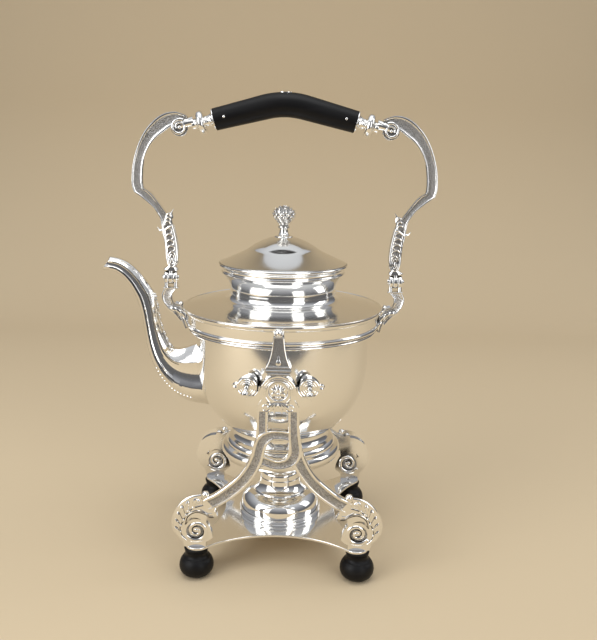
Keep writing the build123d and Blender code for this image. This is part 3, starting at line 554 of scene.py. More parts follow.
class KETTLE_OT_feet(bpy.types.Operator):
    """Turned black feet and their tops"""

    bl_idname = "kettle.feet"
    bl_label = "Feet"

    def execute(self, context):
        places = [at((x, y, 0)) for x in (-FOOT_X, FOOT_X) for y in (FOOT_INSET - FOOT_Y, FOOT_Y - FOOT_INSET)]
        top = high("wooden_feet")
        ball = path((0, 0), (7.0, 0), ((11.6, 1.6), (15.2, 6.6), 8), ((15.6, 9.5), (15.1, 12.8), 6),
                    ((14.0, 15.6), (12.6, 17.4), 6), (12.5, 17.9), (11.7, 18.2), ((9.9, 20.4), (9.8, 22.0), 8),
                    (10.6, top), (0, top))
        piece(turned_bm(ball, places, steps=64), "ball_feet", "stand", ["wooden_feet"], "ebonised_wood")
        cap = path((0, top), (10.0, top), ((10.9, top + 1.2), (10.7, top + 2.6), 6), (10.0, top + 3.0),
                   (0, top + 3.0))
        piece(turned_bm(cap, places, steps=64, edge_round=0.15), "foot_tops", "stand",
              ["foot_collars", "foot_studs"], "ebonised_wood")
        return {"FINISHED"}


class KETTLE_OT_plate(bpy.types.Operator):
    """Base plate with concave sides"""

    bl_idname = "kettle.plate"
    bl_label = "Base plate"

    def execute(self, context):
        bm = cad_bm("base_plate")
        bmesh.ops.scale(bm, vec=PLATE_TRIM, verts=bm.verts)
        soften(piece(bm, "plate", "stand", ["base_plate"]), 0.5, 3, 40.0)
        return {"FINISHED"}


class KETTLE_OT_frames(bpy.types.Operator):
    """Front and back side frames with their scrolls, beads and leaves"""

    bl_idname = "kettle.frames"
    bl_label = "Side frames"

    def execute(self, context):
        for front, node in ((True, "frame_front"), (False, "frame_back")):
            place = frame_to_upright(front)
            ends = bmesh.new()
            for spot, ahead in FRAME_CUTS:
                end = cad_bm(node)
                mark_sunk(end, place.inverted(), HALF_FRAME - CHANNEL_DEPTH)
                kept_beyond(end, place @ Vector(spot), place.to_3x3() @ Vector(ahead))
                joined(ends, end)
            soften(piece(ends, node + "_ends", "stand", [node]), 0.45, 2)
            for name, build in (("_bands", frame_bands), ("_relief", frame_relief)):
                bm = bmesh.new()
                build(bm)
                settle(bm, place)
                piece(bm, node + name, "stand", [])
        return {"FINISHED"}


def kept_beyond(bm, spot, ahead):
    """Cuts a shape off at a plane, keeps what lies ahead of it and closes the cut."""
    geom = list(bm.verts) + list(bm.edges) + list(bm.faces)
    cut = bmesh.ops.bisect_plane(bm, geom=geom, dist=1e-4, plane_co=spot, plane_no=ahead, clear_inner=True)
    edges = [item for item in cut["geom_cut"] if isinstance(item, bmesh.types.BMEdge)]
    bmesh.ops.holes_fill(bm, edges=edges, sides=0)
    bmesh.ops.recalc_face_normals(bm, faces=bm.faces)


def mark_sunk(bm, to_flat, depth):
    """Marks the floors of the channels, which lie at a depth from the middle of a flat piece."""
    layer = bm.faces.layers.float.new("sunk")
    turn = to_flat.to_3x3()
    for face in bm.faces:
        normal = turn @ face.normal
        spot = to_flat @ face.calc_center_median()
        face[layer] = TARNISHED if abs(normal.y) > 0.98 and abs(abs(spot.y) - depth) < 0.12 else 0.0


def mark_facing(bm, y, above):
    """Marks the front of a corbel, which is stippled."""
    layer = bm.faces.layers.float.new("sunk")
    for face in bm.faces:
        spot = face.calc_center_median()
        face[layer] = STIPPLED if abs(spot.y - y) < 0.3 and spot.z > above else 0.0


def spiral(centre, start_radius, end_radius, start, turns, side=1, count=28, y=-HALF_FRAME):
    """Points on a spiral in a plane of constant y."""
    spots = []
    for i in range(count + 1):
        share = i / count
        radius = start_radius + (end_radius - start_radius) * share
        angle = radians(start + 360 * turns * share)
        spots.append(Vector((centre[0] + side * radius * cos(angle), y, centre[1] + radius * sin(angle))))
    return spots


# Where a frame's two scroll feet and its head begin: a point, and the way that they lie from it.
FRAME_CUTS = (((59, 0, 74), (0.8, 0, -0.6)), ((-59, 0, 74), (-0.8, 0, -0.6)), ((0, 0, 163), (0, 0, 1)))

CRESCENT_OUTER = [(67.1, 83.0), (75.0, 81.4), (82.2, 77.4), (87.7, 71.4), (91.2, 63.8), (92.6, 55.8), (92.0, 47.7),
                  (89.0, 40.8), (83.2, 36.1)]
CRESCENT_INNER = [(65.5, 72.5), (71.7, 70.8), (77.1, 67.7), (80.3, 63.6), (82.4, 59.0), (85.0, 53.9), (86.7, 47.8),
                  (84.9, 41.8), (80.5, 37.3)]
LEG_OUTER = [(-66.0, 76.8), (-62.0, 79.4), (-56.0, 82.6), (-46.5, 90.0), (-35.0, 100.8), (-27.5, 112.0),
             (-22.6, 124.0), (-20.5, 133.0), (-17.5, 139.5), (-12.0, 143.4), (-4.5, 145.4), (3.0, 145.3),
             (9.3, 144.6)]
LEG_INNER = [(-59.5, 66.6), (-55.5, 69.0), (-50.5, 71.4), (-39.0, 79.6), (-27.6, 90.5), (-19.0, 102.0),
             (-13.8, 113.0), (-11.2, 124.0), (-9.4, 130.4), (-6.6, 134.4), (-3.0, 136.6), (3.0, 137.0), (9.3, 135.6)]
EYE_OUTER = [(14.4, 174.0), (17.4, 168.4), (18.3, 158.0), (18.6, 148.0), (19.6, 138.0), (21.2, 128.0), (20.6, 121.0),
             (17.4, 115.0), (12.5, 111.0), (6.0, 108.8), (0.0, 108.2), (-6.5, 109.2), (-14.6, 112.4)]
EYE_INNER = [(9.8, 174.0), (8.8, 168.4), (8.6, 158.0), (8.6, 148.0), (8.9, 138.0), (9.3, 130.0), (9.0, 124.4),
             (7.6, 121.0), (5.4, 118.4), (2.6, 117.2), (0.0, 116.9), (-4.0, 117.8), (-12.2, 121.4)]
FAR_LEG_OUTER = [(21.4, 127.4), (22.2, 124.4)] + on_side(LEG_OUTER[:6], -1)[::-1]
FAR_LEG_INNER = [(12.6, 110.6), (14.4, 109.6)] + on_side(LEG_INNER[:6], -1)[::-1]
UPRIGHT_OUTER = [(-14.4, 174.0), (-17.4, 168.4), (-18.3, 158.0), (-18.4, 148.0), (-18.9, 138.8)]
UPRIGHT_INNER = [(-9.8, 174.0), (-8.8, 168.4), (-8.6, 158.0), (-8.6, 150.0), (-8.4, 143.8)]


def frame_bands(bm):
    """Channelled bands laced round the eye: left leg to right upright, right upright to left leg."""
    for outer, inner, half in ((LEG_OUTER, LEG_INNER, 2.9), (EYE_OUTER, EYE_INNER, (3.05, 2.8)),
                               (FAR_LEG_OUTER, FAR_LEG_INNER, 2.8), (UPRIGHT_OUTER, UPRIGHT_INNER, 2.8)):
        strap(bm, outer, inner, half, CHANNELLED, dark=TARNISHED)


def foot_scroll(bm, side, y):
    """The spiral of a scroll foot on one face: a broad ridge, a near-black line along the groove inside it that is
    painted shade, and its eye.
    """
    eye = (side * SCROLL_EYE[0], SCROLL_EYE[1])
    count = 60
    shares = [i / count for i in range(count + 1)]
    swept(bm, spiral(eye, 10.8, 2.4, -150, 1.45, -side, count, y), [2.1 - share for share in shares], 12, flat=0.7)
    # A thin near-black line winding inside the ridge: painted shade of the groove.
    swept(bm, spiral(eye, 8.4, 1.0, -120, 1.3, -side, count, y), [0.75 - 0.25 * share for share in shares], 6,
          dark=PAINTED_SHADE)
    bead(bm, (eye[0], y, eye[1]), 2.0, 16, (1.1, 0.4, 1))


def foot_crescent(bm, side, face):
    """The crescent over a scroll foot, with its lobes and a near-black strip along its inner edge that is painted
    shadow.
    """
    outer, inner = on_side(CRESCENT_OUTER, side), on_side(CRESCENT_INNER, side)
    strap(bm, outer, inner, 1.5, ROUNDED, 5, 0.0, HALF_FRAME - 0.4)
    fine_outer, fine_inner = smooth_curve(outer, 5), smooth_curve(inner, 5)
    # A near-black strip just inside the inner edge: painted shadow under the crescent's edge.
    painted_recess_shade = [tuple(b + (b - a) * 0.12 for a, b in zip(*pair)) for pair in zip(fine_outer, fine_inner)]
    strap(bm, fine_inner, painted_recess_shade, 0.45, ROUNDED, 1, PAINTED_SHADE, HALF_FRAME - 0.2)
    for spot, size in ((3, 2.5), (8, 2.8), (13, 2.8), (18, 2.6), (23, 2.3), (28, 1.9)):
        (ax, az), (bx, bz) = fine_outer[spot], fine_inner[spot]
        (cx, cz), (dx, dz) = fine_outer[spot + 4], fine_inner[spot + 4]
        points = [(ax * 0.75 + bx * 0.25, face - 1.5, az * 0.75 + bz * 0.25),
                  (bx * 0.55 + cx * 0.45, face - 2.1, bz * 0.55 + cz * 0.45),
                  (dx * 1.1 - cx * 0.1, face - 1.0, dz * 1.1 - cz * 0.1)]
        leaf(bm, points, size * 0.8, 0.5)
        bead(bm, (dx, face - 0.7, dz), size * 0.62, 12, (1, 0.7, 1))


def frame_relief(bm):
    """Scroll lines, beads and leaves on a side frame, drawn upright with its outer face at -y."""
    face = -HALF_FRAME
    arch = [(82.3, 54.0), (80.4, 60.6), (76.3, 64.7), (70.9, 66.4), (64.7, 64.5), (60.4, 61.8), (56.8, 61.6)]
    ending = [(68.2, 67.9), (61.2, 63.9), (57.4, 64.4), (57.0, 70.0)]
    sweep = [(15.6, 186.0), (17.6, 180.4), (20.6, 177.4), (25.0, 176.4), (28.6, 177.4)]
    for side in (-1, 1):
        for y in (-HALF_FRAME, HALF_FRAME):
            foot_scroll(bm, side, y)
        foot_crescent(bm, side, face)
        drawn(bm, on_side(arch, side), face, 0.8)
        # A thin near-black line just below and inside the arch: painted shadow of the arch.
        drawn(bm, on_side([(x - 0.5, z - 1.5) for x, z in arch], side), face, 0.4, dark=PAINTED_SHADE, sides=6)
        swept(bm, along(on_side(ending, side), face), 0.5, 8)
        for radius, size in ((7.9, 0.95), (5.7, 0.55), (3.9, 0.45)):
            swept(bm, spiral((side * PIN_X, PIVOT_HEIGHT), radius, radius, 0, 1, side, 40, face), size, 8)
        for x, z in ((PIN_X + 9.6, PIVOT_HEIGHT - 0.8), (63.6, 81.4)):
            bead(bm, (side * x, 0, z), 3.4, 24)
        bead(bm, (side * 69.6, face, 76.6), 2.6, 20, (1, 0.9, 1))
        drawn(bm, on_side(sweep, side), face, 0.8)
    for radius, size, reach in ((15.0, 0.8, 14), (12.9, 0.55, 10), (11.2, 0.7, 60)):
        ring = [(radius * cos(radians(a)), HEAD_HEIGHT - 1.4 + radius * sin(radians(a)))
                for a in range(-reach, 181 + reach, 6)]
        swept(bm, along(ring, face), size, 8)
    for side in (-1, 1):
        swept(bm, spiral((side * 10.4, HEAD_HEIGHT - 15.0), 4.8, 1.3, 100, 1.3, side, 28, face), 0.8, 8)
        for i, (reach, drop, width) in enumerate(((3.4, 20.4, 2.4), (7.6, 19.6, 2.2), (11.6, 18.6, 1.9))):
            leaf(bm, [(side * 1.2 * i, face, HEAD_HEIGHT - 10.5),
                      (side * reach * 0.7, face - 0.8, HEAD_HEIGHT - 15.0),
                      (side * reach, face + 0.1, HEAD_HEIGHT - drop)], width, 0.5)


class KETTLE_OT_rosettes(bpy.types.Operator):
    """Shell rosettes on the heads of the side frames"""

    bl_idname = "kettle.rosettes"
    bl_label = "Rosettes"

    def execute(self, context):
        for front, node in ((True, "rosette_front"), (False, "rosette_back")):
            disc = [(0, -0.8), (9.6, -0.8), (9.8, 0.3), (9.2, 1.0), (8.4, 0.9), (7.8, -0.1), (0, 0.1)]
            bm = turned_bm(disc, steps=48)
            for i in range(7):
                angle = radians(-66 + 22 * i)
                leaf(bm, [(0.6 * sin(angle), -1.6, 0.3), (3.6 * sin(angle), 2.6 * cos(angle) - 0.6, 1.2),
                          (6.6 * sin(angle), 6.6 * cos(angle) - 0.2, 0.4)], 1.5, 0.9, False)
            for side in (-1, 1):
                curl = [Vector((side * (3.4 + 2.1 * cos(t / 4)), -3.6 + 2.1 * sin(t / 4), 0.6)) for t in range(22)]
                swept(bm, curl, 0.6, 8, 1.0, Vector((0, 0, 1)))
            bead(bm, (0, -2.6, 0.7), 1.9, 16, (1, 1.2, 0.7))
            bead(bm, (0, -6.0, 0.4), 1.5, 16, (1, 1.2, 0.6))
            face = at((0, -HALF_FRAME - 0.8, PIVOT_HEIGHT - 2.8)) @ about("X", pi / 2)
            settle(bm, frame_to_upright(front) @ face)
            piece(bm, node + "_shell", "stand", [node])
        return {"FINISHED"}


class KETTLE_OT_pins(bpy.types.Operator):
    """Four pull-out pins"""

    bl_idname = "kettle.pins"
    bl_label = "Pins"

    def execute(self, context):
        reach, tip = (-corner.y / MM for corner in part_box("pin_front_left"))
        length = reach - tip
        profile = path((0, 0), (1.9, 0), (2.3, 0.6), (2.3, length - 4.2),
                       ((3.0, length - 3.2), (2.3, length - 2.2), 6), (2.3, length - 0.4), (1.9, length),
                       (0, length))
        for end, turn in (("front", UNTURNED), ("back", TURNED)):
            for name, x in (("left", -PIN_X), ("right", PIN_X)):
                local_x = x if end == "front" else -x
                place = turn @ at((local_x, -tip, PIVOT_HEIGHT)) @ about("X", pi / 2)
                node = f"pin_{end}_{name}"
                piece(turned_bm(profile, [place], steps=40, edge_round=0.2), node + "_rod", node, [node])
        return {"FINISHED"}


class KETTLE_OT_lamp(bpy.types.Operator):
    """Holder ring, spirit lamp, burner, wick and snuffer cap"""

    bl_idname = "kettle.lamp"
    bl_label = "Spirit lamp"

    def execute(self, context):
        base, outer = PLATE_TOP, breadth("lamp_holder")
        top = high("lamp_holder")
        ring = path((outer - 1.6, base), (outer, base), (outer, base + 1.2), (outer - 0.6, base + 1.8),
                    (outer - 0.6, top - 1.4), ((outer, top - 0.7), (outer - 0.5, top), 6), (outer - 1.6, top))
        piece(turned_bm(ring, edge_round=0.2), "holder_ring", "stand", ["lamp_holder"])
        base, top, outer = low("lamp_reservoir"), high("lamp_reservoir"), breadth("lamp_reservoir")
        neck = 19.6
        vessel = path((0, base), (outer - 3.0, base), ((outer - 0.8, base + 0.9), (outer, base + 3.2), 6),
                      (outer, base + 11.0), ((outer - 3.6, base + 18.4), (outer - 12.0, base + 22.4), 14),
                      (outer - 12.6, base + 24.0), ((neck + 2.0, base + 27.4), (neck, base + 32.0), 10),
                      (neck, top), (13.2, top), (13.2, top - 3.0), (0, top - 3.0))
        piece(turned_bm(vessel), "lamp_vessel", "lamp", ["lamp_reservoir"])
        tube = high("burner_head")
        burner = path((0, top - 2.9), (13.0, top - 2.9), (13.0, top + 0.05), (16.2, top + 0.05), (16.2, top + 1.4),
                      (5.0, top + 1.4), (5.0, tube), (4.0, tube), (4.0, top + 1.0), (0, top + 1.0))
        piece(turned_bm(burner, steps=64, edge_round=0.2), "burner", "lamp", ["burner_head"])
        wick = path((0, top), (3.9, top), (3.9, tube + 0.6), ((3.4, tube + 1.3), (2.4, tube + 1.6), 4),
                    (0, tube + 1.6))
        piece(turned_bm(wick, steps=32, edge_round=0), "wick_cord", "lamp", ["wick"], "wick_cotton")
        base, top, outer = low("snuffer_cap"), high("snuffer_cap") - 4.6, breadth("snuffer_cap")
        cap = path((outer - 1.2, base), (outer - 0.3, base), (outer, base + 1.0), (outer - 0.5, base + 4.0),
                   ((outer - 2.0, top - 1.6), (outer - 6.0, top - 0.5), 8), (4.2, top),
                   ((2.6, top + 0.4), (2.4, top + 1.4), 4), ((3.8, top + 3.0), (0, top + 4.6), 10), (0, top - 1.2),
                   (outer - 5.0, top - 2.0), (outer - 1.8, base + 3.4))
        piece(turned_bm(cap, steps=96, edge_round=0.25), "cap", "snuffer", ["snuffer_cap"])
        return {"FINISHED"}


class KETTLE_OT_vessel(bpy.types.Operator):
    """Spun bowl, stepped foot ring, moulded band, shoulder and neck"""

    bl_idname = "kettle.vessel"
    bl_label = "Kettle body"

    def execute(self, context):
        radius, centre, wall = BOWL_RADIUS, PIVOT_HEIGHT, 1.2
        slant = radius * cos(pi / 4)
        inner = radius - wall
        slant_in = inner * cos(pi / 4)
        bowl = path((0, centre - radius), ((slant, centre - slant), (radius, centre), 36), (radius, WALL_TOP),
                    (inner, WALL_TOP), (inner, centre), ((slant_in, centre - slant_in), (0, centre - inner), 36))
        piece(turned_bm(bowl, edge_round=0), "bowl", "kettle", ["kettle_bowl"])
        base, foot = low("kettle_foot"), breadth("kettle_foot")
        ring = path((foot - 4.4, base), (foot - 2.4, base), (foot - 1.4, base + 1.8),
                    ((foot, base + 6.0), (foot - 1.8, base + 10.2), 10), (foot - 5.2, base + 11.6),
                    ((foot - 5.6, base + 15.0), (foot - 9.2, base + 17.4), 8), (foot - 11.2, base + 18.2),
                    ((foot - 13.4, base + 22.0), (foot - 13.6, base + 26.2), 8), (foot - 16.6, base + 23.0),
                    (foot - 16.2, base + 20.0), (foot - 8.0, base + 12.0))
        piece(turned_bm(ring), "foot_ring", "kettle", ["kettle_foot"])
        band = 89.2
        lower = WALL_TOP
        top = BAND_TOP
        moulding = path((radius, lower), (band - 2.6, lower),
                        ((band - 0.9, lower + 1.5), (band - 2.4, lower + 3.0), 8), (band - 2.6, lower + 3.9),
                        (band - 0.4, lower + 4.3), ((band + 1.4, lower + 6.2), (band - 0.2, lower + 8.0), 8),
                        (band, lower + 8.8), (band, top - 4.8), (band + 1.2, top - 4.2),
                        ((band + 3.0, top - 2.2), (band + 3.2, top), 8), (radius - 3, top),
                        (radius - 3, WALL_TOP + 0.05), (radius, WALL_TOP + 0.05))
        piece(turned_bm(moulding, edge_round=0.25), "moulded_band", "kettle", ["rim_band"])
        neck, mouth, height, step = 49.4, 56.5, MOUTH_HEIGHT, RIM_HEIGHT + 7.0
        rim = RIM_RADIUS
        sheet = path((mouth, height), ((neck + 1.0, height - 8.5), (neck, height - 17.0), 14),
                     ((neck + 1.4, step + 0.8), (neck + 6.0, step - 1.4), 10),
                     ((neck + 22.0, step - 3.4), (rim - 3.0, RIM_HEIGHT), 14), (rim - 2.6, RIM_HEIGHT + 0.5),
                     (rim - 0.6, RIM_HEIGHT), ((rim, BAND_TOP + 0.6), (rim - 0.6, BAND_TOP), 6),
                     (rim - 6.0, BAND_TOP), ((neck + 22.0, step - 4.7), (neck + 5.6, step - 2.6), 14),
                     ((neck - 0.2, step), (neck - 1.2, height - 16.0), 10),
                     ((neck - 0.4, height - 8.0), (mouth - 1.2, height), 14))
        piece(turned_bm(sheet, edge_round=0.15), "shoulder", "kettle", ["kettle_shoulder"])
        return {"FINISHED"}


SPOUT_STATIONS = [
    ((-161.4, 95.1), (-170.2, 83.4), 6.4),
    ((-152.1, 93.4), (-157.5, 81.8), 7.0),
    ((-142.9, 88.9), (-150.0, 77.0), 7.2),
    ((-133.8, 80.6), (-144.0, 70.0), 7.5),
    ((-127.3, 72.0), (-139.8, 62.5), 7.8),
    ((-121.2, 62.5), (-136.5, 55.0), 8.2),
    ((-117.9, 50.0), (-133.5, 44.5), 8.6),
    ((-116.0, 37.0), (-131.2, 32.0), 9.1),
    ((-112.8, 25.5), (-129.6, 20.0), 9.8),
    ((-109.5, 17.0), (-127.6, 8.5), 10.6),
    ((-105.5, 10.2), (-123.5, -4.5), 11.8),
    ((-99.0, 8.0), (-114.8, -22.3), 13.2),
    ((-91.5, 9.5), (-102.5, -35.8), 14.4),
    ((-82.0, 13.0), (-86.5, -43.5), 15.2),
    ((-70.0, 15.0), (-70.0, -46.6), 15.4),
]
SPOUT_HALF = [(1.0, 0.26), (0.60, 0.80), (0.46, 0.90), (0.36, 0.82), (0.06, 0.78), (-0.24, 0.84), (-0.36, 0.97),
              (-0.48, 0.98), (-0.78, 0.72), (-1.0, 0.30)]
# The bore goes this many rings in, and the rings after these lie inside the bowl.
BORE_RINGS, ROOT_RINGS = 30, 66


def spout_rings(wall=0.0, fine=5):
    """Rings of points across the spout, from its lip to the bowl."""
    stations = smooth_curve([(*top, *bottom, half) for top, bottom, half in SPOUT_STATIONS], fine)
    section = SPOUT_HALF + [(rise, -side) for rise, side in SPOUT_HALF[::-1]]
    rings = []
    for top_x, top_z, bottom_x, bottom_z, half in stations:
        height = hypot(top_x - bottom_x, top_z - bottom_z) / 2
        reach = (height - wall) / height
        rings.append([Vector(((top_x + bottom_x) / 2 + (top_x - bottom_x) / 2 * rise * reach, side * (half - wall),
                              PIVOT_HEIGHT + (top_z + bottom_z) / 2 + (top_z - bottom_z) / 2 * rise * reach))
                      for rise, side in section])
    return rings


def lip_spot(spot, share):
    """Where a point of the spout's first ring lies once the beak is cut: a notch between its top and its tip."""
    top, tip, _ = SPOUT_STATIONS[0]
    notch, notch_share = (-159.3, 89.5), -0.1
    end, reach = (top, 1 - notch_share) if share > notch_share else (tip, -1 - notch_share)
    x, z = (a + (b - a) * (share - notch_share) / reach for a, b in zip(notch, end))
    return Vector((x, spot.y, PIVOT_HEIGHT + z))


def on_bowl(spot, radius):
    """The point moved along X on to the bowl."""
    rise = spot.z - PIVOT_HEIGHT
    return Vector((-max(radius ** 2 - spot.y ** 2 - min(rise, 0) ** 2, 1.0) ** 0.5, spot.y, spot.z))


class KETTLE_OT_spout(bpy.types.Operator):
    """Swan-neck spout with ridged sides and a beaked lip"""

    bl_idname = "kettle.spout"
    bl_label = "Spout"

    def execute(self, context):
        bm = bmesh.new()
        outer, inner = spout_rings(), spout_rings(SPOUT_WALL)[:BORE_RINGS]
        shares = [a for a, _ in SPOUT_HALF + SPOUT_HALF[::-1]]
        outer[0] = [lip_spot(spot, share) for spot, share in zip(outer[0], shares)]
        inner[0] = [lip_spot(spot, share * 0.84) for spot, share in zip(inner[0], shares)]
        outer[ROOT_RINGS:] = [[on_bowl(spot, BOWL_RADIUS - 0.4) for spot in outer[-1]]]
        bridged(bm, [ring_of(bm, spots) for spots in inner[::-1] + outer])
        soften(piece(bm, "swan_neck", "kettle", ["spout"], sharp=40.0), 0.35, 2, 30.0)
        relief = bmesh.new()
        spine = spout_rings()
        for i, ring in enumerate(spine[26:52], 26):
            bead(relief, (ring[0] + ring[-1]) / 2, 1.3 + 0.5 * sin(i * 1.7), 10)
        last = len(spine[0]) - 1
        # Two thin ridges on each side, and just inside them two near-black lines that are painted shade of the
        # grooves beside the ridges.
        for corners, inwards, size, dark in (((2, 7), 0.0, 0.55, 0.0), ((3, 6), 0.35, 0.42, PAINTED_SHADE)):
            for corner in (*corners, *(last - k for k in corners)):
                spots = [ring[corner] * Vector((1, 1 - inwards / 40, 1)) for ring in spine[3:60]]
                swept(relief, spots, size, 6, dark=dark)
        for ring in spine[52:ROOT_RINGS]:
            for spot in (ring[8], ring[last - 8]):
                if spot.x < -84:
                    bead(relief, spot, 0.9, 8)
        piece(relief, "spout_beads", "kettle", [])
        return {"FINISHED"}


class KETTLE_OT_lugs(bpy.types.Operator):
    """Corbels over the lugs that hang on the pins"""

    bl_idname = "kettle.lugs"
    bl_label = "Lugs"

    def execute(self, context):
        for node, turn in (("kettle_lugs_front", UNTURNED), ("kettle_lugs_back", Matrix.Scale(-1, 4, (0, 1, 0)))):
            bm = cad_bm(node)
            mark_facing(bm, -turn[1][1] * LUG_FACE, PIVOT_HEIGHT + 19.5)
            soften(piece(bm, node + "_casting", "kettle", [node]), 0.4, 2)
            bm = bmesh.new()
            face = -LUG_FACE
            low_edge = PIVOT_HEIGHT + 12.4
            for side in (-1, 1):
                edge = [(9.4, low_edge + 7.0), (6.6, low_edge + 15), (4.8, low_edge + 24), (4.1, low_edge + 32)]
                drawn(bm, on_side(edge, side), face, 0.6)
                tip = (side * 3.9, face, low_edge + 38.4)
                leaf(bm, [(0, face, low_edge + 33), (side * 2.6, face - 0.6, low_edge + 35), tip], 1.7, 0.6)
            for half, rise, size in ((9.2, 7.2, 0.7), (10.4, 4.0, 0.9), (8.7, 1.2, 0.7), (4.2, 32.2, 0.7)):
                swept(bm, along([(-half, low_edge + rise), (half, low_edge + rise)], face), size, 10)
            for rise, width in ((19.0, 2.2), (14.5, 3.4)):
                tip = (0, face + 0.4, low_edge + rise)
                leaf(bm, [(0, face + 0.3, low_edge + 8.2), (0, face - 0.2, low_edge + 12), tip], width, 0.4)
            bead(bm, (0, face + 1.6, PIVOT_HEIGHT + 48.6), 3.4, 20)
            settle(bm, turn)
            bmesh.ops.recalc_face_normals(bm, faces=bm.faces)
            piece(bm, node + "_leaf", "kettle", [])
        return {"FINISHED"}


class KETTLE_OT_ears(bpy.types.Operator):
    """S-shaped ears on the rim and the pins of the handle's hinges"""

    bl_idname = "kettle.ears"
    bl_label = "Handle ears"

    def execute(self, context):
        for side, turn in RIGHT_AND_LEFT:
            node = "handle_ear_" + side
            bm = bmesh.new()
            ear_casting(bm)
            settle(bm, turn @ TO_HINGE)
            piece(bm, "ear_" + side, "kettle", [node])
            profile = path((0, -7.3), (2.5, -7.3), (2.5, -6.1), (1.6, -6.1), (1.6, 6.05), (2.7, 6.05),
                           ((2.5, 7.4), (0, 7.85), 6))
            place = turn @ TO_HINGE @ about("Y", pi / 2)
            piece(turned_bm(profile, [place], steps=32, edge_round=0.15), "pivot_" + side, "kettle",
                  ["hinge_pin_" + side])
        return {"FINISHED"}


EAR_OUTER = [(6.2, -9.6), (8.9, -15.6), (8.1, -22.3), (3.8, -28.7), (-2.7, -33.6), (-8.7, -40.6), (-12.2, -48.6)]
EAR_INNER = [(-6.2, -9.6), (-1.6, -15.6), (-1.2, -20.4), (-3.4, -24.0), (-8.0, -25.4), (-13.5, -31.6),
             (-16.4, -46.6)]


def ear_casting(bm):
    """The right ear: an S-shaped bracket with a leaf at its foot, and the fork of the hinge, about the hinge."""
    # The channels are tarnished; the rounded lower strap goes a little past full tarnish, towards near-black painted
    # shade behind its leaves.
    strap(bm, EAR_OUTER[:5], EAR_INNER[:5], 4.0, CHANNELLED, dark=0.7)
    strap(bm, EAR_OUTER[3:], EAR_INNER[3:], 3.6, ROUNDED, dark=1.3)
    strap(bm, [(-7.0, -8.5), (7.0, -8.5)], [(-7.0, -10.6), (7.0, -10.6)], 4.6, ROUNDED)
    for side in (-1, 1):
        disc = [(0, 2.3), (5.5, 2.3), (6.2, 3.0), (6.3, 5.2), (5.6, 6.0), (0, 6.0)]
        cheek = turned_bm(disc, steps=32, edge_round=0.2)
        settle(cheek, about("Y", side * pi / 2))
        joined(bm, cheek)
        strap(bm, [(side * 2.4, -0.5), (side * 2.4, -9.0)], [(side * 6.2, -0.5), (side * 6.2, -9.0)], 4.8, ROUNDED)
    for face in (-3.7, 3.7):
        for line in (EAR_OUTER[3:6], EAR_INNER[3:6]):
            drawn(bm, line, face * 0.8, 0.9)
        for start, middle, end, width in (
            ((0.6, -27.4), (-2.6, -30.0), (-7.4, -30.6), 2.3), ((-3.0, -28.2), (-7.0, -31.8), (-9.6, -36.6), 2.2),
            ((-7.6, -30.4), (-11.4, -34.6), (-12.6, -41.0), 2.0),
            ((-11.0, -36.0), (-13.6, -41.0), (-14.0, -47.0), 1.8),
        ):
            depths = (face * 0.9, face * 1.12, face * 0.95)
            leaf(bm, [(x, y, z) for (x, z), y in zip((start, middle, end), depths)], width, 0.45)
    bead(bm, (-8.6, 0, -24.4), 2.4, 16, (1, 1.4, 1))


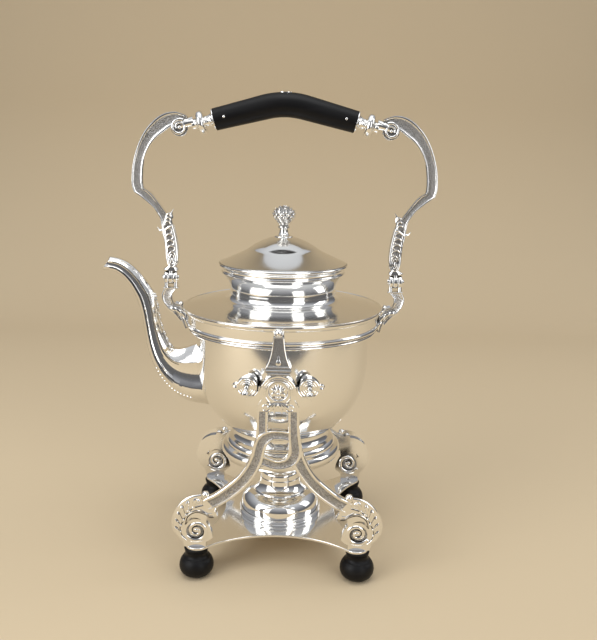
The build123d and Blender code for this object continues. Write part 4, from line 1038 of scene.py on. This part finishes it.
class KETTLE_OT_handle(bpy.types.Operator):
    """Bowed arms with leaves and volutes, ferrules and the bent grip"""

    bl_idname = "kettle.handle"
    bl_label = "Handle"

    def execute(self, context):
        end_x, end_z = 63.2, HINGE_HEIGHT + 143.5
        slope = radians(GRIP_SLOPE)
        for side, turn in RIGHT_AND_LEFT:
            knuckle = [(0, -2.05), (5.5, -2.05), (6.0, -1.6), (6.0, 1.6), (5.5, 2.05), (0, 2.05)]
            bm = turned_bm(knuckle, steps=32, edge_round=0.2)
            settle(bm, about("Y", pi / 2))
            strap(bm, [(-2.0, 1.0), (-2.0, 8.0)], [(2.0, 1.0), (2.0, 8.0)], 4.0, ROUNDED)
            strap(bm, [(-6.3, 6.7), (-6.5, 8.4), (-4.4, 11.2)], [(6.3, 6.7), (6.5, 8.4), (2.4, 11.2)], 4.4, ROUNDED)
            settle(bm, turn @ TO_HINGE)
            piece(bm, "arm_knuckle_" + side, "handle", ["arm_" + side])
            for name, build in (("arm_strap_", arm_bands), ("arm_leaf_", arm_leaves)):
                bm = bmesh.new()
                build(bm)
                settle(bm, turn @ TO_HINGE)
                piece(bm, name + side, "handle", [])
            profile = path((0, -19.0), (3.9, -19.0), (3.9, 0.05), (10.1, 0.05), (10.0, 1.0),
                           ((7.2, 2.0), (5.4, 4.2), 8), (5.0, 7.0), ((5.8, 8.0), (8.2, 8.8), 6),
                           ((10.9, 12.1), (8.2, 15.4), 12), ((5.6, 16.2), (4.8, 18.2), 6), (4.8, 20.4), (0, 20.4))
            place = turn @ at((end_x, 0, end_z)) @ about("Y", pi / 2 + slope)
            piece(turned_bm(profile, [place], steps=64, edge_round=0.25), "ferrule_turned_" + side, "handle",
                  ["ferrule_" + side])
        bend = 72.0
        bend_x = bend * sin(slope)
        top = end_z + (end_x - bend_x) * tan(slope) + bend * (1 - cos(slope))
        spots, radii = [], []
        for i in range(-14, 15):
            angle = slope * min(abs(i) / 6, 1)
            beyond = max(abs(i) - 6, 0) / 8
            x = bend * sin(angle) + (end_x - bend_x) * beyond
            z = top - bend * (1 - cos(angle)) - (end_x - bend_x) * tan(slope) * beyond
            spots.append(Vector((x if i > 0 else -x, 0, z)))
            radii.append(GRIP_RADIUS - (GRIP_RADIUS - GRIP_END_RADIUS) * beyond)
        bm = bmesh.new()
        swept(bm, spots, radii, 56)
        bmesh.ops.recalc_face_normals(bm, faces=bm.faces)
        soften(piece(bm, "grip_wood", "handle", ["grip"], "ebonised_wood", 60.0), 0.5, 3, 50.0)
        bm = bmesh.new()
        for side in (-1, 1):
            x = side * (end_x - 9.5 * cos(slope))
            z = end_z + 9.5 * sin(slope)
            for front in (-1, 1):
                bead(bm, (x, front * 9.75, z), 1.2, 16, (1, 0.45, 1))
        piece(bm, "rivets", "handle", ["grip_rivets"])
        bm = bmesh.new()
        bmesh.ops.create_circle(bm, cap_ends=True, segments=40, radius=1.0, matrix=at((0, 0, top + 9.9))
                                @ Matrix.Diagonal((5.5, 3.2, 1, 1)))
        made = bmesh.ops.extrude_face_region(bm, geom=list(bm.faces))
        bmesh.ops.translate(bm, vec=(0, 0, 1.1), verts=verts_of(made))
        bmesh.ops.recalc_face_normals(bm, faces=bm.faces)
        piece(bm, "grip_inlay", "handle", ["grip_plate"])
        return {"FINISHED"}


ARM_OUTER = [(-17.0, 146.4), (-12.0, 148.4), (-6.0, 149.7), (2.5, 148.4), (11.5, 143.2), (21.0, 132.9),
             (28.0, 119.4), (32.5, 104.4), (34.0, 92.4), (34.0, 84.4), (32.0, 78.0)]
ARM_INNER = [(-16.0, 139.0), (-12.0, 139.4), (-7.0, 138.4), (-2.0, 136.0), (3.5, 132.0), (11.0, 126.4),
             (17.5, 117.9), (21.9, 106.9), (23.5, 95.4), (23.8, 87.4), (23.1, 82.0)]
ELBOW_OUTER = [(32.0, 78.0), (25.4, 73.4), (15.8, 65.2), (9.3, 55.9), (8.0, 49.4), (7.2, 44.0)]
ELBOW_INNER = [(23.1, 82.0), (16.3, 77.2), (6.7, 64.6), (1.5, 56.4), (-1.1, 49.4), (-2.6, 44.0)]
ARM_LEAF_OUTER = [(4.0, 58.6), (7.4, 49.4), (7.0, 41.4), (5.3, 34.4), (4.5, 27.4), (4.1, 18.4), (3.1, 12.9),
                  (1.5, 9.9)]
ARM_LEAF_INNER = [(-1.4, 58.6), (-2.6, 49.4), (-4.6, 41.4), (-5.9, 34.4), (-6.7, 27.4), (-6.9, 18.4), (-6.0, 12.9),
                  (-3.1, 9.9)]
ARM_VOLUTE = (-10.1, 136.2)


def arm_bands(bm):
    """The right arm's channelled strap with its mitred knee, the leaf's body and the volute, about the hinge."""
    # Past full tarnish the dark mark is painted shade: the channels are tarnished and a quarter of the way to
    # near-black, and the leaf's body half way, as painted shade behind the relief on them.
    for outer, inner in ((ARM_OUTER, ARM_INNER), (ELBOW_OUTER, ELBOW_INNER)):
        strap(bm, outer, inner, ARM_HALF, CHANNELLED, dark=1.25)
    strap(bm, ARM_LEAF_OUTER, ARM_LEAF_INNER, ARM_LEAF_HALF, ROUNDED, dark=1.5)
    swept(bm, along([(-22.6, 141.4), (-18.0, 140.4), (-11.0, 138.4)], 0), [4.9, 4.3, 4.6], 24)
    rim = [(0, 2.2), (4.0, 2.4), (7.4, 3.3), (8.2, 2.4)]
    disc = turned_bm([(radius, -depth) for radius, depth in rim] + rim[::-1], steps=40)
    # The volute's dish is half way from tarnish to near-black: tarnish and painted shade behind its spiral.
    layer = disc.verts.layers.float.new("sunk")
    for vert in disc.verts:
        vert[layer] = 1.5 if vert.co.xy.length < 7.6 else 0.0
    settle(disc, at((ARM_VOLUTE[0], 0, ARM_VOLUTE[1])) @ about("X", pi / 2))
    joined(bm, disc)


def arm_leaves(bm):
    """The right arm's leaf: stacked curls over an oval scroll, two thorns, and the volute's spiral."""
    for face in (-1, 1):
        count = 50
        spots = spiral(ARM_VOLUTE, 7.0, 2.9, 62, 1.4, -1, count, face * 3.6)
        swept(bm, spots, [1.55 - 0.6 * i / count for i in range(count + 1)], 12)
        bead(bm, (ARM_VOLUTE[0], face * 2.8, ARM_VOLUTE[1]), 1.9, 20, (1, 0.8, 1))
        y = face * 3.9
        for line, toward in ((ARM_LEAF_OUTER, -0.7), (ARM_LEAF_INNER, 0.7)):
            drawn(bm, [(x + toward, z) for x, z in line[1:]], y * 0.86, 0.7)
        oval_x, oval_z = -1.6, 17.6
        for across, up, size in ((3.4, 7.0, 0.6), (2.0, 4.5, 0.5)):
            ring = [(oval_x + across * cos(radians(a)), oval_z + up * sin(radians(a))) for a in range(0, 361, 15)]
            swept(bm, along(ring, y * 1.05), size, 8)
        bead(bm, (oval_x, y, oval_z - 0.4), 1.0, 12, (0.8, 0.9, 2.2))
        for i in range(4):
            middle, z, half = -1.4 + 0.65 * i, 27.0 + 5.4 * i, 4.3 - 0.1 * i
            curl = [(middle + half, z - 2.6), (middle + half * 0.9, z + 1.2), (middle + half * 0.2, z + 3.2),
                    (middle - half * 0.6, z + 1.4), (middle - half * 0.5, z - 1.2), (middle + 0.2, z - 1.4)]
            drawn(bm, curl, y * 1.02, [1.0 - 0.028 * k for k in range(21)], 4)
        for i in range(3):
            x, z = 1.6 - 0.3 * i, 51.0 + 3.4 * i
            curl = [(x + 3.0 - 0.6 * i, z - 1.8), (x + 2.2 - 0.5 * i, z + 1.0), (x - 0.8, z + 1.4),
                    (x - 2.2, z - 0.8)]
            drawn(bm, curl, y, 0.75, 4)
        collar = [(8.6, 43.6), (6.4, 43.2), (3.6, 45.2), (0.4, 47.6), (-2.4, 48.0)]
        drawn(bm, collar, y, 1.0, 4)
    outer_thorn = [(5.6, 41.4), (8.0, 43.4), (10.2, 44.2), (12.0, 46.6)]
    inner_thorn = [(0.8, 52.0), (-1.0, 56.0), (-1.2, 59.4), (-3.2, 63.4)]
    for thorn in (outer_thorn, inner_thorn):
        spots = along(smooth_curve(thorn, 5), 0)
        swept(bm, spots, [2.4 * (1 - i / 15.5) + 0.15 for i in range(16)], 10, 0.9)


class KETTLE_OT_lid(bpy.types.Operator):
    """Domed lid, its moulded edge and the berry finial"""

    bl_idname = "kettle.lid"
    bl_label = "Lid"

    def execute(self, context):
        edge, top, outer = LID_EDGE, FINIAL_BASE, LID_RADIUS
        dome = path((outer - 1.2, edge), ((outer - 12.0, edge + 4.6), (outer * 0.55, edge + 12.0), 14),
                    ((outer * 0.33, edge + 19.8), (9.0, top), 14), (1.9, top), (1.9, top - 1.2), (9.2, top - 1.2),
                    ((outer * 0.33 - 0.6, edge + 18.7), (outer * 0.55 - 0.6, edge + 10.9), 14),
                    ((outer - 12.4, edge + 3.5), (outer - 1.7, edge - 1.0), 14))
        piece(turned_bm(dome, edge_round=0.1), "dome", "lid", ["lid_dome"])
        plug, mouth, seat = 47.5, 56.5, LID_LOW
        rim = path((plug, seat), (mouth - 0.4, seat), ((mouth + 1.0, seat + 1.4), (mouth + 0.2, seat + 2.8), 6),
                   ((mouth + 0.8, seat + 5.4), (outer - 1.0, edge - 3.2), 8),
                   ((outer, edge - 1.7), (outer - 0.8, edge - 0.3), 6), (outer - 1.7, edge - 1.1),
                   (plug + 2, seat + 2.4), (plug - 1.2, seat + 2.4), (plug - 1.2, seat - 10), (plug, seat - 10))
        piece(turned_bm(rim, edge_round=0.2), "lid_moulding", "lid", ["lid_rim"])
        base = top + 0.05
        stem = path((0, top - 5.4), (1.8, top - 5.4), (1.8, base), (8.6, base), (8.4, base + 0.7),
                    ((5.0, base + 2.2), (3.9, base + 5.4), 10), ((4.2, base + 7.4), (5.4, base + 8.4), 6),
                    (5.4, base + 9.6), (0, base + 9.6))
        piece(turned_bm(stem, steps=56, edge_round=0.2), "stem", "lid", ["finial_stem", "finial_nut"])
        bud_low, bud_high, wide = low("finial_bud"), high("finial_bud"), breadth("finial_bud")
        core = [(share * wide - (0.9 if share else 0), bud_low + rise) for share, rise in
                ((0, 0), (0.42, 0), (0.5, 2.6), (0.78, 6.0), (0.94, 9.6), (0.92, 13.0), (0.72, 16.0), (0.3, 18.2),
                 (0, 18.6))]
        bm = turned_bm(core, steps=48, edge_round=0)
        layer = bm.verts.layers.float.new("sunk")
        for vert in bm.verts:
            vert[layer] = TARNISHED
        for row, (rise, reach, count, tall, broad, tilt) in enumerate((
            (2.6, 0.45, 7, 2.6, 1.4, 0.55), (5.4, 0.66, 8, 2.0, 2.2, 0.60), (8.2, 0.86, 9, 1.8, 2.5, 0.45),
            (10.8, 0.93, 9, 1.7, 2.6, 0.10), (13.2, 0.84, 9, 1.6, 2.3, -0.30), (15.2, 0.64, 7, 1.5, 2.1, -0.65),
            (16.8, 0.38, 5, 1.3, 1.8, -0.95),
        )):
            for i in range(count):
                around = 2 * pi * (i + 0.5 * (row % 2)) / count
                turn = about("Z", around) @ about("Y", tilt)
                spot = about("Z", around) @ Vector((reach * wide - 0.5, 0, bud_low + rise))
                bead(bm, spot, 1, 12, (1.1, broad, tall), turn)
                lip = about("Z", around) @ Vector((reach * wide + 0.4, 0, bud_low + rise + 1.0))
                bead(bm, lip, 1, 10, (0.9, broad * 0.8, 0.55), turn)
        bead(bm, (0, 0, bud_high - 1.5), 1.7, 12)
        piece(bm, "berry", "lid", ["finial_bud"])
        return {"FINISHED"}


FLOOR_HALF_WIDTH, FLOOR_HALF_DEPTH, FLOOR_MIDDLE = 0.92, 1.035, 0.315
WALL_HEIGHT, COVE = 2.2, 0.5
# name, place, width, height, power
LAMPS = (
    ("lamp_left", (-1.2, -1.0, 0.7), 1.4, 1.6, 9.0),
    ("lamp_left_middle", (-1.15, -0.97, 0.68), 0.7, 0.9, 6.0),
    ("lamp_front", (0.85, -1.15, 0.5), 0.6, 1.2, 4.5),
    ("lamp_right", (1.5, 0.1, 0.9), 0.6, 1.0, 4.0),
    ("lamp_top", (0.0, -0.3, 1.9), 1.6, 1.1, 11.0),
)


def stage_floor(scene, settings):
    """A floor that curves up into a wall behind the kettle."""
    bm = bmesh.new()
    bmesh.ops.create_grid(bm, x_segments=1, y_segments=1, size=1.0, matrix=at((0, FLOOR_MIDDLE, -0.0002))
                          @ Matrix.Diagonal((FLOOR_HALF_WIDTH, FLOOR_HALF_DEPTH, 1, 1)))
    back = [e for e in bm.edges if all(v.co.y > FLOOR_MIDDLE for v in e.verts)]
    made = bmesh.ops.extrude_edge_only(bm, edges=back)
    bmesh.ops.translate(bm, vec=(0, 0, WALL_HEIGHT), verts=verts_of(made))
    bmesh.ops.bevel(bm, geom=back, offset=COVE, offset_type="OFFSET", segments=24, profile=0.5, affect="EDGES",
                    material=-1)
    bmesh.ops.recalc_face_normals(bm, faces=bm.faces)
    mesh = bpy.data.meshes.new("floor")
    bm.to_mesh(mesh)
    bm.free()
    mesh.polygons.foreach_set("use_smooth", [True] * len(mesh.polygons))
    finish = Finish("plain_floor")
    finish.surface(Base_Color=colour(settings.floor_colour), Roughness=0.85)
    finish.shader.inputs["Specular IOR Level"].default_value = 0.2
    mesh.materials.append(finish.material)
    floor = bpy.data.objects.new("floor", mesh)
    scene.collection.objects.link(floor)


def stage_lamps(scene):
    """Soft lamps, each turned to the middle of the kettle."""
    for name, spot, wide, tall, power in LAMPS:
        data = bpy.data.lights.new(name, "AREA")
        data.shape = "RECTANGLE"
        data.size = wide
        data.size_y = tall
        data.energy = power
        lamp = bpy.data.objects.new(name, data)
        lamp.location = spot
        aim = Vector((AXIS_X, 0, 0.2)) - Vector(spot)
        lamp.rotation_euler = aim.to_track_quat("-Z", "Y").to_euler()
        scene.collection.objects.link(lamp)


def stage_world(scene):
    """A grey room, brighter toward its ceiling."""
    world = bpy.data.worlds.new("studio")
    scene.world = world
    world.use_nodes = True
    tree = world.node_tree
    tree.nodes.clear()
    spot, parts, scale, ramp, background, output = (tree.nodes.new("ShaderNode" + kind) for kind in (
        "TexCoord", "SeparateXYZ", "Math", "ValToRGB", "Background", "OutputWorld"))
    scale.operation = "MULTIPLY_ADD"
    scale.inputs[1].default_value = scale.inputs[2].default_value = 0.5
    low_tone, high_tone = ramp.color_ramp.elements
    low_tone.position, low_tone.color = 0.5, (0.14, 0.138, 0.14, 1)
    high_tone.position, high_tone.color = 1.0, (0.86, 0.88, 0.90, 1)
    for height, tone in ((0.6, (0.17, 0.175, 0.19, 1)), (0.8, (0.46, 0.47, 0.50, 1))):
        ramp.color_ramp.elements.new(height).color = tone
    background.inputs["Strength"].default_value = 0.9
    for start, end in ((spot.outputs["Generated"], parts.inputs[0]), (parts.outputs["Z"], scale.inputs[0]),
                       (scale.outputs[0], ramp.inputs[0]), (ramp.outputs[0], background.inputs["Color"]),
                       (background.outputs[0], output.inputs["Surface"])):
        tree.links.new(start, end)


def stage_camera(scene):
    """The camera where the photo was taken from, in mm about the kettle's axis."""
    azimuth, pitch, roll = radians(0.5), radians(12.8), radians(1.1)
    distance, height, aside, lens = 698.1, 381.8, 15.1, 42.6
    ahead_flat = Vector((-sin(azimuth), cos(azimuth), 0))
    right = Vector((cos(azimuth), sin(azimuth), 0))
    eye = -ahead_flat * distance + right * aside + Vector((0, 0, height))
    ahead = ahead_flat * cos(pitch) - Vector((0, 0, sin(pitch)))
    up = right.cross(ahead)
    right, up = right * cos(roll) + up * sin(roll), up * cos(roll) - right * sin(roll)
    data = bpy.data.cameras.new("camera")
    data.lens = lens
    camera = bpy.data.objects.new("camera", data)
    turn = Matrix((right, up, -ahead)).transposed().to_4x4()
    camera.matrix_world = at(TO_FRAME @ eye) @ turn
    scene.collection.objects.link(camera)
    scene.camera = camera


class KETTLE_OT_stage(bpy.types.Operator):
    """Plain floor, soft lamps and the camera"""

    bl_idname = "kettle.stage"
    bl_label = "Stage"

    def execute(self, context):
        scene = context.scene
        stage_floor(scene, scene.silver_settings)
        stage_lamps(scene)
        stage_world(scene)
        stage_camera(scene)
        scene.view_settings.view_transform = "Standard"
        return {"FINISHED"}


class KETTLE_PT_panel(bpy.types.Panel):
    """The kettle's pieces and settings"""

    bl_idname = "KETTLE_PT_panel"
    bl_label = "Tea Kettle"
    bl_space_type = "VIEW_3D"
    bl_region_type = "UI"
    bl_category = "Kettle"

    def draw(self, context):
        for settings in (context.scene.silver_settings, context.scene.turning_settings):
            for name in settings.bl_rna.properties.keys():
                if name not in {"rna_type", "name"}:
                    self.layout.prop(settings, name)
        for operator in OPERATORS:
            self.layout.operator(operator.bl_idname)


OPERATORS = (
    KETTLE_OT_feet, KETTLE_OT_plate, KETTLE_OT_frames, KETTLE_OT_rosettes, KETTLE_OT_pins, KETTLE_OT_lamp,
    KETTLE_OT_vessel, KETTLE_OT_spout, KETTLE_OT_lugs, KETTLE_OT_ears, KETTLE_OT_handle, KETTLE_OT_lid,
    KETTLE_OT_stage,
)
CLASSES = (SilverSettings, TurningSettings, *OPERATORS, KETTLE_PT_panel)


def register():
    for cls in CLASSES:
        bpy.utils.register_class(cls)
    bpy.types.Scene.silver_settings = bpy.props.PointerProperty(type=SilverSettings)
    bpy.types.Scene.turning_settings = bpy.props.PointerProperty(type=TurningSettings)


def unregister():
    del bpy.types.Scene.silver_settings
    del bpy.types.Scene.turning_settings
    for cls in reversed(CLASSES):
        bpy.utils.unregister_class(cls)


def main():
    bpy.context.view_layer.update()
    register()
    for operator in OPERATORS:
        group, name = operator.bl_idname.split(".")
        getattr(getattr(bpy.ops, group), name)()


if __name__ == "__main__":
    main()
